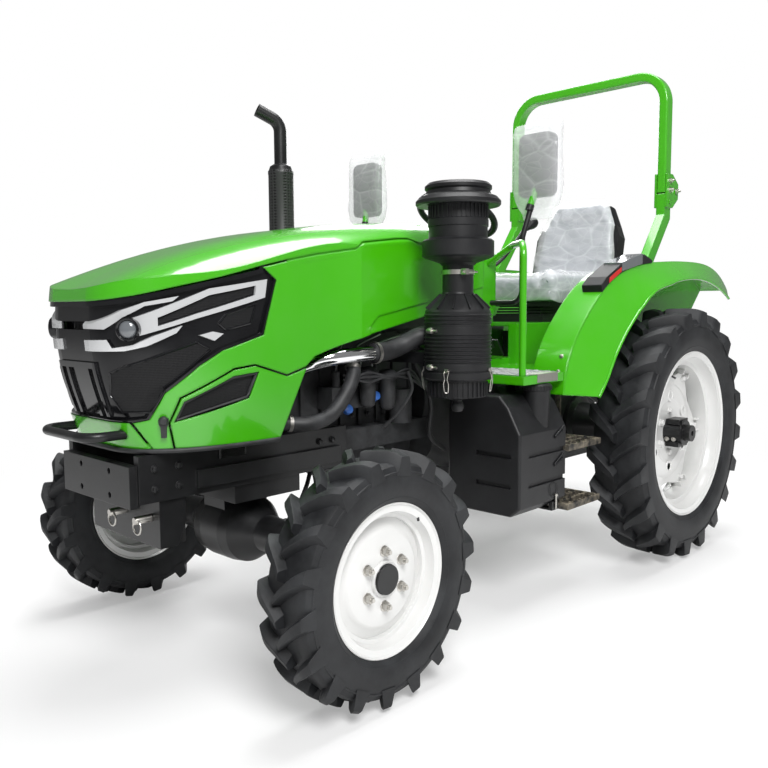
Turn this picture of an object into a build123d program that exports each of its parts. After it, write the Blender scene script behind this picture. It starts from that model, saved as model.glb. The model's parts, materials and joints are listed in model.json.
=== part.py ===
"""Farm tractor with an open station and a folding roll bar, one STEP file per piece.

Millimetres. X points forward, Y to the left, Z up; the ground is Z = 0 and the
origin lies midway along the length on the centre line.
"""
import os
from math import cos, hypot, pi, radians, sin

from build123d import *

# Wheels and stance
WHEELBASE = 1990
FRONT_OVERHANG = 622          # front axle to the guard bar
REAR_OVERHANG = 935           # rear axle to the lower links' eyes
FRONT_TYRE_R = 378
FRONT_TYRE_W = 182
FRONT_RIM_R = 228
FRONT_RIM_W = 140
FRONT_LUGS = 18
FRONT_LUG_H = 30
FRONT_FLANGE_Y = 750          # outer rim flange, the wheel's outside plane
REAR_TYRE_R = 576
REAR_TYRE_W = 250
REAR_RIM_R = 381
REAR_RIM_W = 204
REAR_LUGS = 20
REAR_LUG_H = 36
REAR_FLANGE_Y = 790
KINGPIN_Y = 520
STUB_R = 37.5                 # rear axle shaft
FIT = 0.3                     # between faces that turn on each other

REAR_X = (REAR_OVERHANG - WHEELBASE - FRONT_OVERHANG) / 2
FRONT_X = REAR_X + WHEELBASE
FRONT_Y = FRONT_FLANGE_Y - FRONT_RIM_W / 2
REAR_Y = REAR_FLANGE_Y - REAR_RIM_W / 2

# Hood: stations are (ahead of the front axle, seam height, top height)
HOOD_STATIONS = (
    (-1030, 1400, 1501),
    (-571, 1400, 1480),
    (-86, 1336, 1424),
    (304, 1240, 1328),
    (600, 1150, 1205),
)
HOOD_PLANS = ((700, 478), (850, 524), (1000, 566), (1300, 556), (1600, 556))
HOOD_HALF_W = 334
HOOD_REAR = FRONT_X - 995
HINGE_X = HOOD_REAR + 20
HINGE_Z = 1462
HINGE_Y = 150
HINGE_R = 8
LID_SWING = 50                # the lid's rear edge sweeps inside this radius
SKIN = 4
SEAM = 6                      # gap between neighbouring panels
STEP = 5                      # set-back of the side panel's lower border
RECESS = 16                   # the dark front sits this far under the green skin
SKIRT_Z = 757

# Chassis
RAIL_Y = 205
RAIL_T = 26
RAIL_TOP = 742
RAIL_BOTTOM = 600
ENGINE_FRONT = FRONT_X - 130
ENGINE_REAR = FRONT_X - 830
CLUTCH_REAR = FRONT_X - 1010
FLOOR_Z = 905
FLOOR_T = 20
COWL_FRONT = HOOD_REAR - 20   # leaves room for the lid's rear edge as it swings
COWL_REAR = HOOD_REAR - 130
COWL_HALF_W = 300
PLATFORM_FRONT = HOOD_REAR + 135
PLATFORM_REAR = REAR_X + 560

# Roll bar
ROPS_X = REAR_X - 392
ROPS_HALF_W = 468             # to the outside of the posts
ROPS_TOP = 2360
ROPS_W = 45
ROPS_D = 68
ROPS_BEND = 165
ROPS_SPLIT = 1735
FOLD_X = ROPS_X - 66
FOLD_Z = ROPS_SPLIT + 17
ROPS_KNEE = ROPS_SPLIT - 352   # where the posts lean forward to their feet
ROPS_FOOT = REAR_TYRE_R + 130

# Hitch
LINK_PIVOT_X = REAR_X - 150
LINK_PIVOT_Z = 470
LINK_EYE_X = REAR_X - REAR_OVERHANG + 38
LINK_ARM = 300                # pivot to lift rod, equal on link and arm
ARM_PIVOT_Z = 985
LINK_Y = 250

# Steering wheel
WHEEL_X = COWL_REAR - 117
WHEEL_Z = 1572
WHEEL_R = 190
WHEEL_TILT = 28

os.makedirs("parts", exist_ok=True)


def save(piece, name):
    """Name a finished piece and write its STEP file."""
    piece.part.label = name
    export_step(piece.part, f"parts/{name}.step")


def mirrored(piece):
    """The same piece on the other side of the tractor."""
    shape = mirror(piece.part, about=Plane.XZ)
    with BuildPart() as twin:
        add(shape)
    return twin


def bent_tube(points, radius, bend, hollow=0):
    """Round tube along a polyline with filleted corners."""
    with BuildPart() as tube:
        with BuildLine() as path:
            FilletPolyline(*points, radius=bend)
        start = path.line @ 0
        with BuildSketch(Plane(origin=start, z_dir=path.line % 0)):
            Circle(radius)
            if hollow:
                Circle(hollow, mode=Mode.SUBTRACT)
        sweep(path=path.line)
    return tube


def prism(points, half_width, mode=Mode.ADD, centre=0):
    """Side-view outline (X, Z) carried across the tractor about Y = centre."""
    with BuildSketch(Plane.XZ.offset(-centre)) as outline:
        with BuildLine():
            Polyline(*points, close=True)
        make_face()
    extrude(outline.sketch, amount=half_width, both=True, mode=mode)


def turned(points, x, y):
    """Upright solid of revolution from (radius, height) points."""
    with BuildSketch(Plane.XZ.offset(-y)) as section:
        with BuildLine():
            Polyline((x, points[0][1]), *[(x + r, z) for r, z in points], (x, points[-1][1]), close=True)
        make_face()
    revolve(section.sketch, axis=Axis((x, y, 0), (0, 0, 1)))


def turned_y(points, x, z):
    """Solid of revolution about an axle from (radius, across) points."""
    with BuildSketch(Plane.YZ.offset(x)) as section:
        with BuildLine():
            Polyline((points[0][1], z), *[(y, z + r) for r, y in points], (points[-1][1], z), close=True)
        make_face()
    revolve(section.sketch, axis=Axis((x, 0, z), (0, 1, 0)))


def slab(x_from, x_to, y_from, y_to, z_from, z_to, mode=Mode.ADD):
    """Block between six planes, inside the part being built."""
    centre = ((x_from + x_to) / 2, (y_from + y_to) / 2, (z_from + z_to) / 2)
    with Locations(centre):
        Box(x_to - x_from, y_to - y_from, z_to - z_from, mode=mode)


def post(x, y, z_from, z_to, radius, mode=Mode.ADD):
    """Upright cylinder."""
    with Locations((x, y, (z_from + z_to) / 2)):
        Cylinder(radius, z_to - z_from, mode=mode)


def bar_y(x, z, y_from, y_to, radius, mode=Mode.ADD):
    """Cylinder lying across the tractor."""
    with Locations(Location((x, (y_from + y_to) / 2, z), (90, 0, 0))):
        Cylinder(radius, y_to - y_from, mode=mode)


def bar_x(y, z, x_from, x_to, radius, mode=Mode.ADD):
    """Cylinder lying along the tractor."""
    with Locations(Location(((x_from + x_to) / 2, y, z), (0, 90, 0))):
        Cylinder(radius, x_to - x_from, mode=mode)


# Tyres and rims, about the Y axis at the origin with the outside towards +Y
def tyre(outer, width, rim, rim_width, lugs, lug_height):
    """Bar-tread tyre: faceted carcass with two staggered rows of bent lugs."""
    base = outer - lug_height
    half = width / 2
    sides = 2 * lugs
    pitch = 2 * pi * base / lugs
    ring = (
        (-rim_width / 2 + 9, rim + 2),
        (-half, rim + 0.40 * (base - rim)),
        (-half + 8, base - 0.22 * (base - rim)),
        (-half + 30, base - 4),
        (half - 30, base - 4),
        (half - 8, base - 0.22 * (base - rim)),
        (half, rim + 0.40 * (base - rim)),
        (rim_width / 2 - 9, rim + 2),
    )
    with BuildPart() as crown:
        with BuildSketch(Plane.YZ):
            with BuildLine():
                Polyline(
                    (-half + 4, base - 40),
                    (-half + 4, outer - 20),
                    (-half * 0.62, outer),
                    (half * 0.62, outer),
                    (half - 4, outer - 20),
                    (half - 4, base - 40),
                    close=True,
                )
            make_face()
        revolve(axis=Axis.Y)
    with BuildPart() as lug:
        with BuildSketch(Plane.XY.offset(base - 18)):
            with BuildLine():
                Polyline(
                    (0.36 * pitch, -8),
                    (0.02 * pitch, half * 0.48),
                    (-0.20 * pitch, half * 0.98),
                    (-0.46 * pitch, half * 0.98),
                    (-0.22 * pitch, half * 0.44),
                    (0.10 * pitch, -8),
                    close=True,
                )
            make_face()
        extrude(amount=lug_height + 30)
        add(crown.part, mode=Mode.INTERSECT)
    other = mirror(lug.part, about=Plane.XZ)
    turns = [360 / lugs * number for number in range(lugs)]
    bars = [lug.part.rotate(Axis.Y, turn) for turn in turns]
    bars += [other.rotate(Axis.Y, turn + 180 / lugs) for turn in turns]
    with BuildPart() as body:
        for across, radius in ring:
            with BuildSketch(Plane.XZ.offset(-across)):
                RegularPolygon(radius, sides)
        loft(ruled=True)
        with BuildSketch(Plane.XZ.offset(-rim_width / 2)):
            RegularPolygon(rim - 22.9, sides, major_radius=False)
        extrude(amount=rim_width, mode=Mode.SUBTRACT)
        add(bars)
    return body


def rim_barrel(radius, width, thick, well):
    """Rolled rim with two flanges and a drop centre, inside the part being built."""
    half = width / 2
    seat = radius - 25
    outline = (
        (-half, radius),
        (-half + 7, seat + 2),
        (-half * 0.62, seat),
        (-half * 0.42, seat - well),
        (half * 0.42, seat - well),
        (half * 0.62, seat),
        (half - 7, seat + 2),
        (half, radius),
    )
    inside = tuple((across, r - thick) for across, r in outline)
    with BuildSketch(Plane.YZ) as section:
        with BuildLine():
            Polyline(*outline, *reversed(inside), close=True)
        make_face()
    revolve(section.sketch, axis=Axis.Y)


def front_rim():
    """White rim with a domed disc, its slots and six wheel nuts."""
    well = 18
    thick = 6
    edge_r = FRONT_RIM_R - 25 - well - thick + 1
    with BuildPart() as rim:
        rim_barrel(FRONT_RIM_R, FRONT_RIM_W, thick, well)
        with BuildSketch(Plane.YZ):
            with BuildLine():
                Polyline((12, edge_r), (20, 158), (34, 138), (36, 52), (26, 52), (26, 134),
                         (12, 154), (4, edge_r), close=True)
            make_face()
        revolve(axis=Axis.Y)
        with BuildSketch(Plane.XZ.offset(-40)):
            with PolarLocations(edge_r - 12, 4, 45):
                SlotOverall(90, 18, rotation=90)
        extrude(amount=60, mode=Mode.SUBTRACT)
        with BuildSketch(Plane.XZ.offset(-34)):
            with PolarLocations(82, 6, 90):
                RegularPolygon(14, 6)
        extrude(amount=-20)
    return rim


def rear_rim():
    """White rim with a lobed centre disc bolted to six loops."""
    well = 34
    thick = 7
    disc_y = REAR_RIM_W / 2 - 124
    inner = REAR_RIM_R - 25 - well - thick
    with BuildPart() as rim:
        rim_barrel(REAR_RIM_R, REAR_RIM_W, thick, well)
        with BuildSketch(Plane.XZ.offset(-disc_y)):
            Circle(inner - 48)
            with PolarLocations(inner - 60, 6, 30):
                Circle(62)
            Circle(STUB_R + FIT, mode=Mode.SUBTRACT)
        extrude(amount=-10)
        with BuildSketch(Plane.XZ.offset(-disc_y - 10)):
            with PolarLocations(inner - 22, 6, 30):
                Rectangle(52, 60)
        extrude(amount=-22)
        with BuildSketch(Plane.XZ.offset(-disc_y - 10)):
            with PolarLocations(98, 6, 0):
                RegularPolygon(16, 6)
        extrude(amount=-16)
    return rim


def rear_hub():
    """Axle shaft with the split clamp that holds the disc."""
    disc_y = REAR_RIM_W / 2 - 124
    with BuildPart() as hub:
        bar_y(0, 0, disc_y - 200, REAR_RIM_W / 2 + 4, STUB_R)
        bar_y(0, 0, disc_y + 10 + FIT, disc_y + 96, 58)
        bar_y(0, 0, disc_y - 28, disc_y - FIT, 120)
        for sign in (-1, 1):
            slab(-50, 50, disc_y + 22, disc_y + 84, sign * 52 - 12, sign * 52 + 12)
        bar_y(0, 0, REAR_RIM_W / 2 - 12, REAR_RIM_W / 2 + 4, 12, Mode.SUBTRACT)
    return hub


def placed(piece, x, y, z, flip=False):
    """A copy of a wheel piece at its axle, turned to face right when flipped."""
    shape = mirror(piece.part, about=Plane.XZ) if flip else piece.part
    with BuildPart() as copy:
        add(shape.moved(Location((x, y, z))))
    return copy


front_tyre = tyre(FRONT_TYRE_R, FRONT_TYRE_W, FRONT_RIM_R, FRONT_RIM_W, FRONT_LUGS, FRONT_LUG_H)
rear_tyre = tyre(REAR_TYRE_R, REAR_TYRE_W, REAR_RIM_R, REAR_RIM_W, REAR_LUGS, REAR_LUG_H)
front_disc_rim = front_rim()
rear_disc_rim = rear_rim()
rear_clamp_hub = rear_hub()
for side, sign in (("left", 1), ("right", -1)):
    flipped = sign < 0
    save(placed(front_tyre, FRONT_X, sign * FRONT_Y, FRONT_TYRE_R, flipped), f"front_tyre_{side}")
    save(placed(front_disc_rim, FRONT_X, sign * FRONT_Y, FRONT_TYRE_R, flipped), f"front_rim_{side}")
    save(placed(rear_tyre, REAR_X, sign * REAR_Y, REAR_TYRE_R, flipped), f"rear_tyre_{side}")
    save(placed(rear_disc_rim, REAR_X, sign * REAR_Y, REAR_TYRE_R, flipped), f"rear_rim_{side}")
    save(placed(rear_clamp_hub, REAR_X, sign * REAR_Y, REAR_TYRE_R, flipped), f"rear_hub_{side}")


# Front axle, knuckles and steering rods
AXLE_Z = FRONT_TYRE_R
HUB_FACE_Y = FRONT_Y + 26     # against the inside of the wheel disc
ROD_X = FRONT_X - 142
ROD_Z = AXLE_Z - 12
with BuildPart() as front_axle:
    casing = ((52, 400), (52, 340), (62, 180), (86, 140), (112, 96), (118, 50))
    turned_y([(r, -y) for r, y in casing] + list(reversed(casing)), FRONT_X, AXLE_Z + 30)
    for sign in (-1, 1):
        post(FRONT_X, sign * KINGPIN_Y, AXLE_Z + 70, AXLE_Z + 130, 62)
        post(FRONT_X, sign * KINGPIN_Y, AXLE_Z - 122, AXLE_Z - 82, 40)
        slab(FRONT_X - 42, FRONT_X + 42, sign * 415 - 20, sign * 415 + 20, AXLE_Z - 122, AXLE_Z + 130)
        slab(FRONT_X - 36, FRONT_X + 36, sign * 460 - 50, sign * 460 + 50, AXLE_Z - 122, AXLE_Z - 84)
        slab(FRONT_X - 36, FRONT_X + 36, sign * 450 - 40, sign * 450 + 40, AXLE_Z + 74, AXLE_Z + 130)
        slab(ROD_X, FRONT_X - 30, sign * 120 - 18, sign * 120 + 18, AXLE_Z - 4, AXLE_Z + 40)
    slab(FRONT_X - 90, FRONT_X + 90, -60, 60, AXLE_Z + 60, RAIL_BOTTOM - 60)
    bar_y(ROD_X, ROD_Z, -170, 170, 33)
    bar_y(ROD_X, ROD_Z, -171, 171, 15 + FIT, Mode.SUBTRACT)
save(front_axle, "front_axle")

with BuildPart() as knuckle_left:
    post(FRONT_X, KINGPIN_Y, AXLE_Z - 76, AXLE_Z + 64, 50)
    post(FRONT_X, KINGPIN_Y, AXLE_Z - 82 + FIT, AXLE_Z + 70 - FIT, 26)
    bar_y(FRONT_X, AXLE_Z, KINGPIN_Y, HUB_FACE_Y - 70, 60)
    turned_y(((60, KINGPIN_Y + 70), (78, KINGPIN_Y + 86), (78, HUB_FACE_Y - 66), (62, HUB_FACE_Y - 50)),
             FRONT_X, AXLE_Z)
    bar_y(FRONT_X, AXLE_Z, HUB_FACE_Y - 70, HUB_FACE_Y - FIT, 62)
    bar_y(FRONT_X, AXLE_Z, HUB_FACE_Y - 60, HUB_FACE_Y + 30, 44)
    slab(FRONT_X - 164, FRONT_X - 20, KINGPIN_Y - 30, KINGPIN_Y + 14, AXLE_Z - 60, AXLE_Z - 30)
save(knuckle_left, "knuckle_left")
save(mirrored(knuckle_left), "knuckle_right")

with BuildPart() as steering_rod:
    bar_y(ROD_X, ROD_Z, -KINGPIN_Y + 8, KINGPIN_Y - 8, 15)
save(steering_rod, "steering_rod")


# Front frame with its bolting plate
PLATE_FRONT = FRONT_X + 514
with BuildPart() as front_frame:
    for sign in (-1, 1):
        slab(ENGINE_FRONT - 200, PLATE_FRONT - 24, sign * RAIL_Y - RAIL_T / 2,
             sign * RAIL_Y + RAIL_T / 2, RAIL_BOTTOM, RAIL_TOP)
    slab(PLATE_FRONT - 30, PLATE_FRONT, -207, 207, 589, 713)
    slab(FRONT_X - 120, FRONT_X + 150, -RAIL_Y, RAIL_Y, RAIL_BOTTOM - 60, RAIL_BOTTOM + 40)
    prism(((FRONT_X + 330, RAIL_BOTTOM + 40), (FRONT_X + 330, 520), (FRONT_X + 360, 452), (FRONT_X + 420, 452),
           (FRONT_X + 420, RAIL_BOTTOM + 40)), RAIL_Y)
    prism(((FRONT_X + 320, 560), (FRONT_X + 345, 480), (FRONT_X + 400, 480), (FRONT_X + 400, 560)), RAIL_Y - 14,
          Mode.SUBTRACT)
    for y in (-RAIL_Y - 20, RAIL_Y + 20):
        slab(ENGINE_FRONT - 160, FRONT_X + 300, y - 7, y + 7, RAIL_BOTTOM + 20, RAIL_TOP - 66)
    for y in (-88, 88):
        for z in (616, 688):
            bar_x(y, z, PLATE_FRONT - 40, PLATE_FRONT + 10, 9, Mode.SUBTRACT)
save(front_frame, "front_frame")


# Engine, clutch housing, gearbox and rear axle
FAN_X = ENGINE_FRONT + 40
FAN_Z = 950
FAN_R = 150
MANIFOLD_OUT = 237
ENGINE_RIB_Y = 142
with BuildPart() as engine:
    slab(ENGINE_REAR, ENGINE_FRONT, -130, 130, 640, 1060)
    for number in range(7):
        rib_x = ENGINE_REAR + 60 + number * 95
        slab(rib_x, rib_x + 16, -ENGINE_RIB_Y, ENGINE_RIB_Y, 720, 1010)
    slab(ENGINE_REAR + 10, ENGINE_FRONT - 10, -146, 146, 1060, 1084)
    slab(ENGINE_REAR + 20, ENGINE_FRONT - 20, -134, 134, 1084, 1150)
    prism(((ENGINE_REAR + 20, 640), (ENGINE_FRONT - 20, 640), (ENGINE_FRONT - 60, 580), (ENGINE_FRONT - 240, 560),
           (ENGINE_FRONT - 300, 500), (ENGINE_REAR + 60, 500)), 108)
    slab(ENGINE_REAR, ENGINE_FRONT - 20, -RAIL_Y + RAIL_T / 2, RAIL_Y - RAIL_T / 2, 640, 720)
    with BuildSketch(Plane.YZ.offset(ENGINE_REAR + 60)):
        with Locations((0, 1195)):
            RectangleRounded(190, 110, 34)
    extrude(amount=ENGINE_FRONT - ENGINE_REAR - 120)
    bar_x(0, 860, ENGINE_FRONT - 10, ENGINE_FRONT + 30, 90)
    bar_x(0, FAN_Z, ENGINE_FRONT - 10, FAN_X + 30, 40)
    for number in range(6):
        with Locations(Location((FAN_X + 14, 0, FAN_Z), (60 * number, 0, 0))):
            with Locations(Location((0, 0, FAN_R / 2 + 16), (0, 0, 25))):
                Box(6, 62, FAN_R - 34)
    bar_x(0, 800, ENGINE_REAR, ENGINE_REAR + 44, 200)
    bar_x(-190, 990, ENGINE_FRONT - 190, ENGINE_FRONT - 40, 58)
    slab(ENGINE_FRONT - 150, ENGINE_FRONT - 80, -180, -120, 950, 990)
    for number in range(4):
        port_x = ENGINE_REAR + 110 + number * 150
        bar_y(port_x, 1110, 120, 205, 24)
        bar_y(port_x, 1110, -205, -120, 24)
    with BuildSketch(Plane.YZ.offset(ENGINE_REAR + 60)):
        for sign in (-1, 1):
            with Locations((sign * (MANIFOLD_OUT - 32), 1108)):
                RectangleRounded(64, 70, 20)
    extrude(amount=560)
    slab(ENGINE_REAR + 300, ENGINE_REAR + 560, 130, 212, 800, 880)
    for number in range(4):
        post(ENGINE_REAR + 335 + number * 62, 190, 880, 936, 15)
    bar_y(ENGINE_REAR + 190, 800, 120, 180, 34)
    post(ENGINE_REAR + 190, 200, 720, 850, 44)
    bar_x(-178, 720, ENGINE_REAR, ENGINE_REAR + 210, 48)
save(engine, "engine")

with BuildPart() as radiator:
    slab(ENGINE_FRONT + 130, ENGINE_FRONT + 230, -235, 235, RAIL_TOP, 1150)
    slab(ENGINE_FRONT + 110, ENGINE_FRONT + 240, -225, 225, 1090, 1140)
    for number in range(9):
        fin_y = -200 + number * 50
        slab(ENGINE_FRONT + 220, ENGINE_FRONT + 240, fin_y - 16, fin_y + 16, RAIL_TOP + 40, 1080, Mode.SUBTRACT)
    slab(ENGINE_FRONT + 60, ENGINE_FRONT + 130, -210, 210, 760, 1130)
    bar_x(0, FAN_Z, ENGINE_FRONT + 40, ENGINE_FRONT + 130, FAN_R + 15, Mode.SUBTRACT)
    post(ENGINE_FRONT + 175, 0, 1140, 1172, 34)
save(radiator, "radiator")

GEAR_TOP = 860
with BuildPart() as gearbox:
    with BuildSketch(Plane.YZ.offset(ENGINE_REAR)):
        with Locations((0, 770)):
            RectangleRounded(400, 480, 90)
    with BuildSketch(Plane.YZ.offset(CLUTCH_REAR - 60)):
        with Locations((0, 660)):
            RectangleRounded(300, 400, 50)
    loft()
    with BuildSketch(Plane.YZ.offset(REAR_X - 190)):
        with Locations((0, 650)):
            RectangleRounded(300, 420, 40)
    extrude(amount=CLUTCH_REAR - 20 - REAR_X + 190)
    slab(REAR_X - 190, REAR_X + 190, -190, 190, 400, 900)
    slab(REAR_X - 190, REAR_X + 170, -150, 150, 900, 1040)
    for number in range(5):
        rib_x = REAR_X + 290 + number * 130
        slab(rib_x, rib_x + 18, -166, 166, 500, 800)
    bar_x(0, 560, REAR_X - 215, REAR_X - 190, 60)
    bar_x(0, 560, REAR_X - 305, REAR_X - 215, 17.45)
    for sign in (-1, 1):
        slab(REAR_X - 240, REAR_X - 180, sign * 32 - 10, sign * 32 + 10, 760, 880)
    bar_y(REAR_X - 215, 830, -50, 50, 12.9, Mode.SUBTRACT)
    bar_y(LINK_PIVOT_X, ARM_PIVOT_Z, -200, 200, 32 + FIT, Mode.SUBTRACT)
save(gearbox, "gearbox")

TRUMPET = ((132, 190), (132, 212), (104, 226), (84, 400), (84, 440), (104, 450), (104, 478), (84, 486), (84, 536))
with BuildPart() as rear_axle:
    for sign in (-1, 1):
        points = [(r, sign * y) for r, y in TRUMPET]
        turned_y(points, REAR_X, REAR_TYRE_R)
        slab(REAR_X - 90, REAR_X + 90, sign * 430 - 30, sign * 430 + 30, REAR_TYRE_R + 40, REAR_TYRE_R + 130)
        bar_y(REAR_X, REAR_TYRE_R, min(sign * 440, sign * 560), max(sign * 440, sign * 560),
              STUB_R + FIT, Mode.SUBTRACT)
save(rear_axle, "rear_axle")


# Hood skin
def hood_form(inset):
    """Solid within the hood's outer face, moved in by inset."""
    wide = HOOD_HALF_W - inset
    with BuildPart() as along:
        for ahead, seam_z, top_z in HOOD_STATIONS:
            with BuildSketch(Plane.YZ.offset(FRONT_X + ahead)):
                with BuildLine():
                    Spline(
                        (-wide, seam_z - inset),
                        (0, top_z - inset),
                        (wide, seam_z - inset),
                        tangents=((0.55, 0.8), (0.55, -0.8)),
                    )
                    Polyline((wide, seam_z - inset), (wide, 690), (-wide, 690), (-wide, seam_z - inset))
                make_face()
        loft()
    with BuildPart() as form:
        for z, nose in HOOD_PLANS:
            front = FRONT_X + nose - inset
            with BuildSketch(Plane.XY.offset(z)):
                with BuildLine():
                    for sign in (-1, 1):
                        Spline(
                            (front, sign * (105 - 0.4 * inset)),
                            (front - 50, sign * (218 - 0.8 * inset)),
                            (front - 165, sign * (286 - inset)),
                            (front - 420, sign * (322 - inset)),
                            (FRONT_X - 300, sign * wide),
                        )
                    Line((front, -105 + 0.4 * inset), (front, 105 - 0.4 * inset))
                    Polyline((FRONT_X - 300, wide), (HOOD_REAR - 30, wide), (HOOD_REAR - 30, -wide),
                             (FRONT_X - 300, -wide))
                make_face()
        loft()
        add(along.part, mode=Mode.INTERSECT)
    return form


def ahead(points):
    """Outline points given ahead of the front axle, in world X and Z."""
    return [(FRONT_X + x, z) for x, z in points]


SEAM_LINE = ((-995, 1392), (-684, 1398), (-596, 1398), (-550, 1413), (-490, 1410), (-315, 1388),
             (-280, 1365), (-115, 1340), (10, 1316), (110, 1294), (260, 1256), (385, 1228),
             (500, 1200), (700, 1160))
FACE_EDGE = ((700, 842), (500, 842), (462, 850), (432, 925), (335, 1005), (262, 1046),
             (116, 1088), (62, 1250), (106, 1288))
LOWER_PANEL = ((54, SKIRT_Z), (390, SKIRT_Z), (408, 834), (382, 905), (222, 980), (147, 988),
               (20, 948), (-65, 969))
WINDOW = ((170, 892), (400, 836), (376, 896), (225, 962), (132, 970))
SIDE_LOWER = ((-995, 1196), (-615, 1125), (-365, 1075), (-190, 1031), (-103, 1006), (-65, 974))

outer_form = hood_form(0)
inner_form = hood_form(SKIN)
with BuildPart() as hood_skin:
    add(outer_form.part)
    add(inner_form.part, mode=Mode.SUBTRACT)

lap_form = hood_form(SKIN + 3)
with BuildPart() as hood_lap:
    add(inner_form.part)
    add(lap_form.part, mode=Mode.SUBTRACT)
    prism(ahead([(x, z - SEAM - 16) for x, z in SEAM_LINE[:9]] + [(x, z + 16) for x, z in SEAM_LINE[8::-1]]), 600,
          Mode.INTERSECT)

with BuildPart() as hinge_lugs:
    for sign in (-1, 1):
        bar_y(HINGE_X, HINGE_Z, sign * HINGE_Y - 14, sign * HINGE_Y + 14, HINGE_R + 8)
        slab(HINGE_X - 10, HINGE_X + 26, sign * HINGE_Y - 14, sign * HINGE_Y + 14, HINGE_Z, HINGE_Z + 60)
    add(inner_form.part, mode=Mode.INTERSECT)

with BuildPart() as hood_top:
    add(hood_skin.part)
    prism(ahead(SEAM_LINE) + [(FRONT_X + 700, 1700), (HOOD_REAR, 1700)], 600, Mode.INTERSECT)
    add(hinge_lugs.part)
    for sign in (-1, 1):
        bar_y(HINGE_X, HINGE_Z, sign * HINGE_Y - 20, sign * HINGE_Y + 20, HINGE_R + FIT, Mode.SUBTRACT)
save(hood_top, "hood_top")

side_outline = ([(x, z - SEAM) for x, z in SEAM_LINE[:10]] + [(100, 1282), (56, 1250)]
                + [(110, 1082), (258, 1040), (330, 999), (426, 921), (456, 846), (488, 836), (440, SKIRT_Z)]
                + [(396, SKIRT_Z), (414, 834), (388, 909), (224, 986), (147, 994), (20, 954), (-62, 975)]
                + list(reversed(SIDE_LOWER[:-1])))
STEP_LINE = ((-340, 1000), (-345, 1098), (-385, 1134), (-590, 1172), (-1100, 1262), (-1100, 1000))
with BuildPart() as step_wall:
    add(outer_form.part)
    add(hood_form(STEP + SKIN).part, mode=Mode.SUBTRACT)
    prism(ahead([(x + 9, z + 9) for x, z in STEP_LINE]), 600, Mode.INTERSECT)
    prism(ahead(STEP_LINE), 600, Mode.SUBTRACT)
step_outer = hood_form(STEP)
step_inner = hood_form(STEP + SKIN)
with BuildPart() as stepped_border:
    add(step_outer.part)
    add(step_inner.part, mode=Mode.SUBTRACT)
    prism(ahead(STEP_LINE), 600, Mode.INTERSECT)

with BuildPart() as hood_side_left:
    add(hood_skin.part)
    prism(ahead([(x + 3, z + 3) for x, z in STEP_LINE]), 600, Mode.SUBTRACT)
    add(step_wall.part)
    add(stepped_border.part)
    prism(ahead(side_outline), 600, Mode.INTERSECT)
    add(hood_lap.part)
    slab(HOOD_REAR - 50, FRONT_X + 700, 20, 600, 600, 1700, Mode.INTERSECT)
save(hood_side_left, "hood_side_left")
save(mirrored(hood_side_left), "hood_side_right")

GUARD_X = FRONT_X + FRONT_OVERHANG - 14
GUARD_ENDS = FRONT_X + 470


def guard_tube(radius):
    """Tube in front of the nose, its ends through the skirt."""
    return bent_tube(((GUARD_ENDS, -150, 800), (GUARD_X, -150, 800), (GUARD_X, 150, 800),
                      (GUARD_ENDS, 150, 800)), radius, 60)


save(guard_tube(14), "guard_bar")
with BuildPart() as skirt_brackets:
    for sign in (-1, 1):
        slab(FRONT_X + 400, FRONT_X + 520, sign * RAIL_Y - RAIL_T / 2, sign * RAIL_Y + RAIL_T / 2, RAIL_TOP, 775)
    add(inner_form.part, mode=Mode.INTERSECT)

with BuildPart() as nose_skirt:
    add(hood_skin.part)
    prism(ahead([(446, SKIRT_Z), (494, 836), (700, 836), (700, SKIRT_Z)]), 600, Mode.INTERSECT)
    add(guard_tube(14 + FIT).part, mode=Mode.SUBTRACT)
    add(skirt_brackets.part)
save(nose_skirt, "nose_skirt")

with BuildPart() as panel_bracket:
    slab(FRONT_X + 120, FRONT_X + 220, RAIL_Y + RAIL_T / 2, 400, SKIRT_Z, SKIRT_Z + 12)
    slab(FRONT_X + 120, FRONT_X + 220, RAIL_Y + RAIL_T / 2, RAIL_Y + RAIL_T / 2 + 12, RAIL_TOP - 60, SKIRT_Z + 12)
    add(inner_form.part, mode=Mode.INTERSECT)

with BuildPart() as lower_panel_left:
    add(hood_skin.part)
    prism(ahead(LOWER_PANEL), 600, Mode.INTERSECT)
    slab(HOOD_REAR - 50, FRONT_X + 700, 20, 600, 600, 1700, Mode.INTERSECT)
    prism(ahead(WINDOW), 600, Mode.SUBTRACT)
    add(panel_bracket.part)
save(lower_panel_left, "lower_panel_left")
save(mirrored(lower_panel_left), "lower_panel_right")

recess_outer = hood_form(RECESS)
recess_inner = hood_form(RECESS + SKIN)
NOSE_SLOT_Y = 66
FACE_OUTLINE = ahead(list(FACE_EDGE) + [(106, 1270), (260, 1236), (385, 1208), (500, 1182), (700, 1150)])
with BuildPart() as face_rim:
    with BuildSketch(Plane.XZ) as rim_band:
        with BuildLine():
            Polyline(*FACE_OUTLINE, close=True)
        make_face()
        offset(amount=14, kind=Kind.INTERSECTION)
        with BuildLine():
            Polyline(*FACE_OUTLINE, close=True)
        make_face(mode=Mode.SUBTRACT)
    extrude(amount=600, both=True)
    add(inner_form.part, mode=Mode.INTERSECT)
    add(recess_inner.part, mode=Mode.SUBTRACT)

lamp_outer = hood_form(RECESS - 8)
with BuildPart() as nose_ribs:
    add(lamp_outer.part)
    add(recess_inner.part, mode=Mode.SUBTRACT)
    with BuildPart(mode=Mode.INTERSECT):
        for sign in (-1, 1):
            slab(FRONT_X + 400, FRONT_X + 700, sign * 62 - 8, sign * 62 + 8, 850, 1000)
            slab(FRONT_X + 400, FRONT_X + 700, sign * 104 - 8, sign * 104 + 8, 850, 1000)
        slab(FRONT_X + 400, FRONT_X + 700, -112, 112, 992, 1010)

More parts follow.
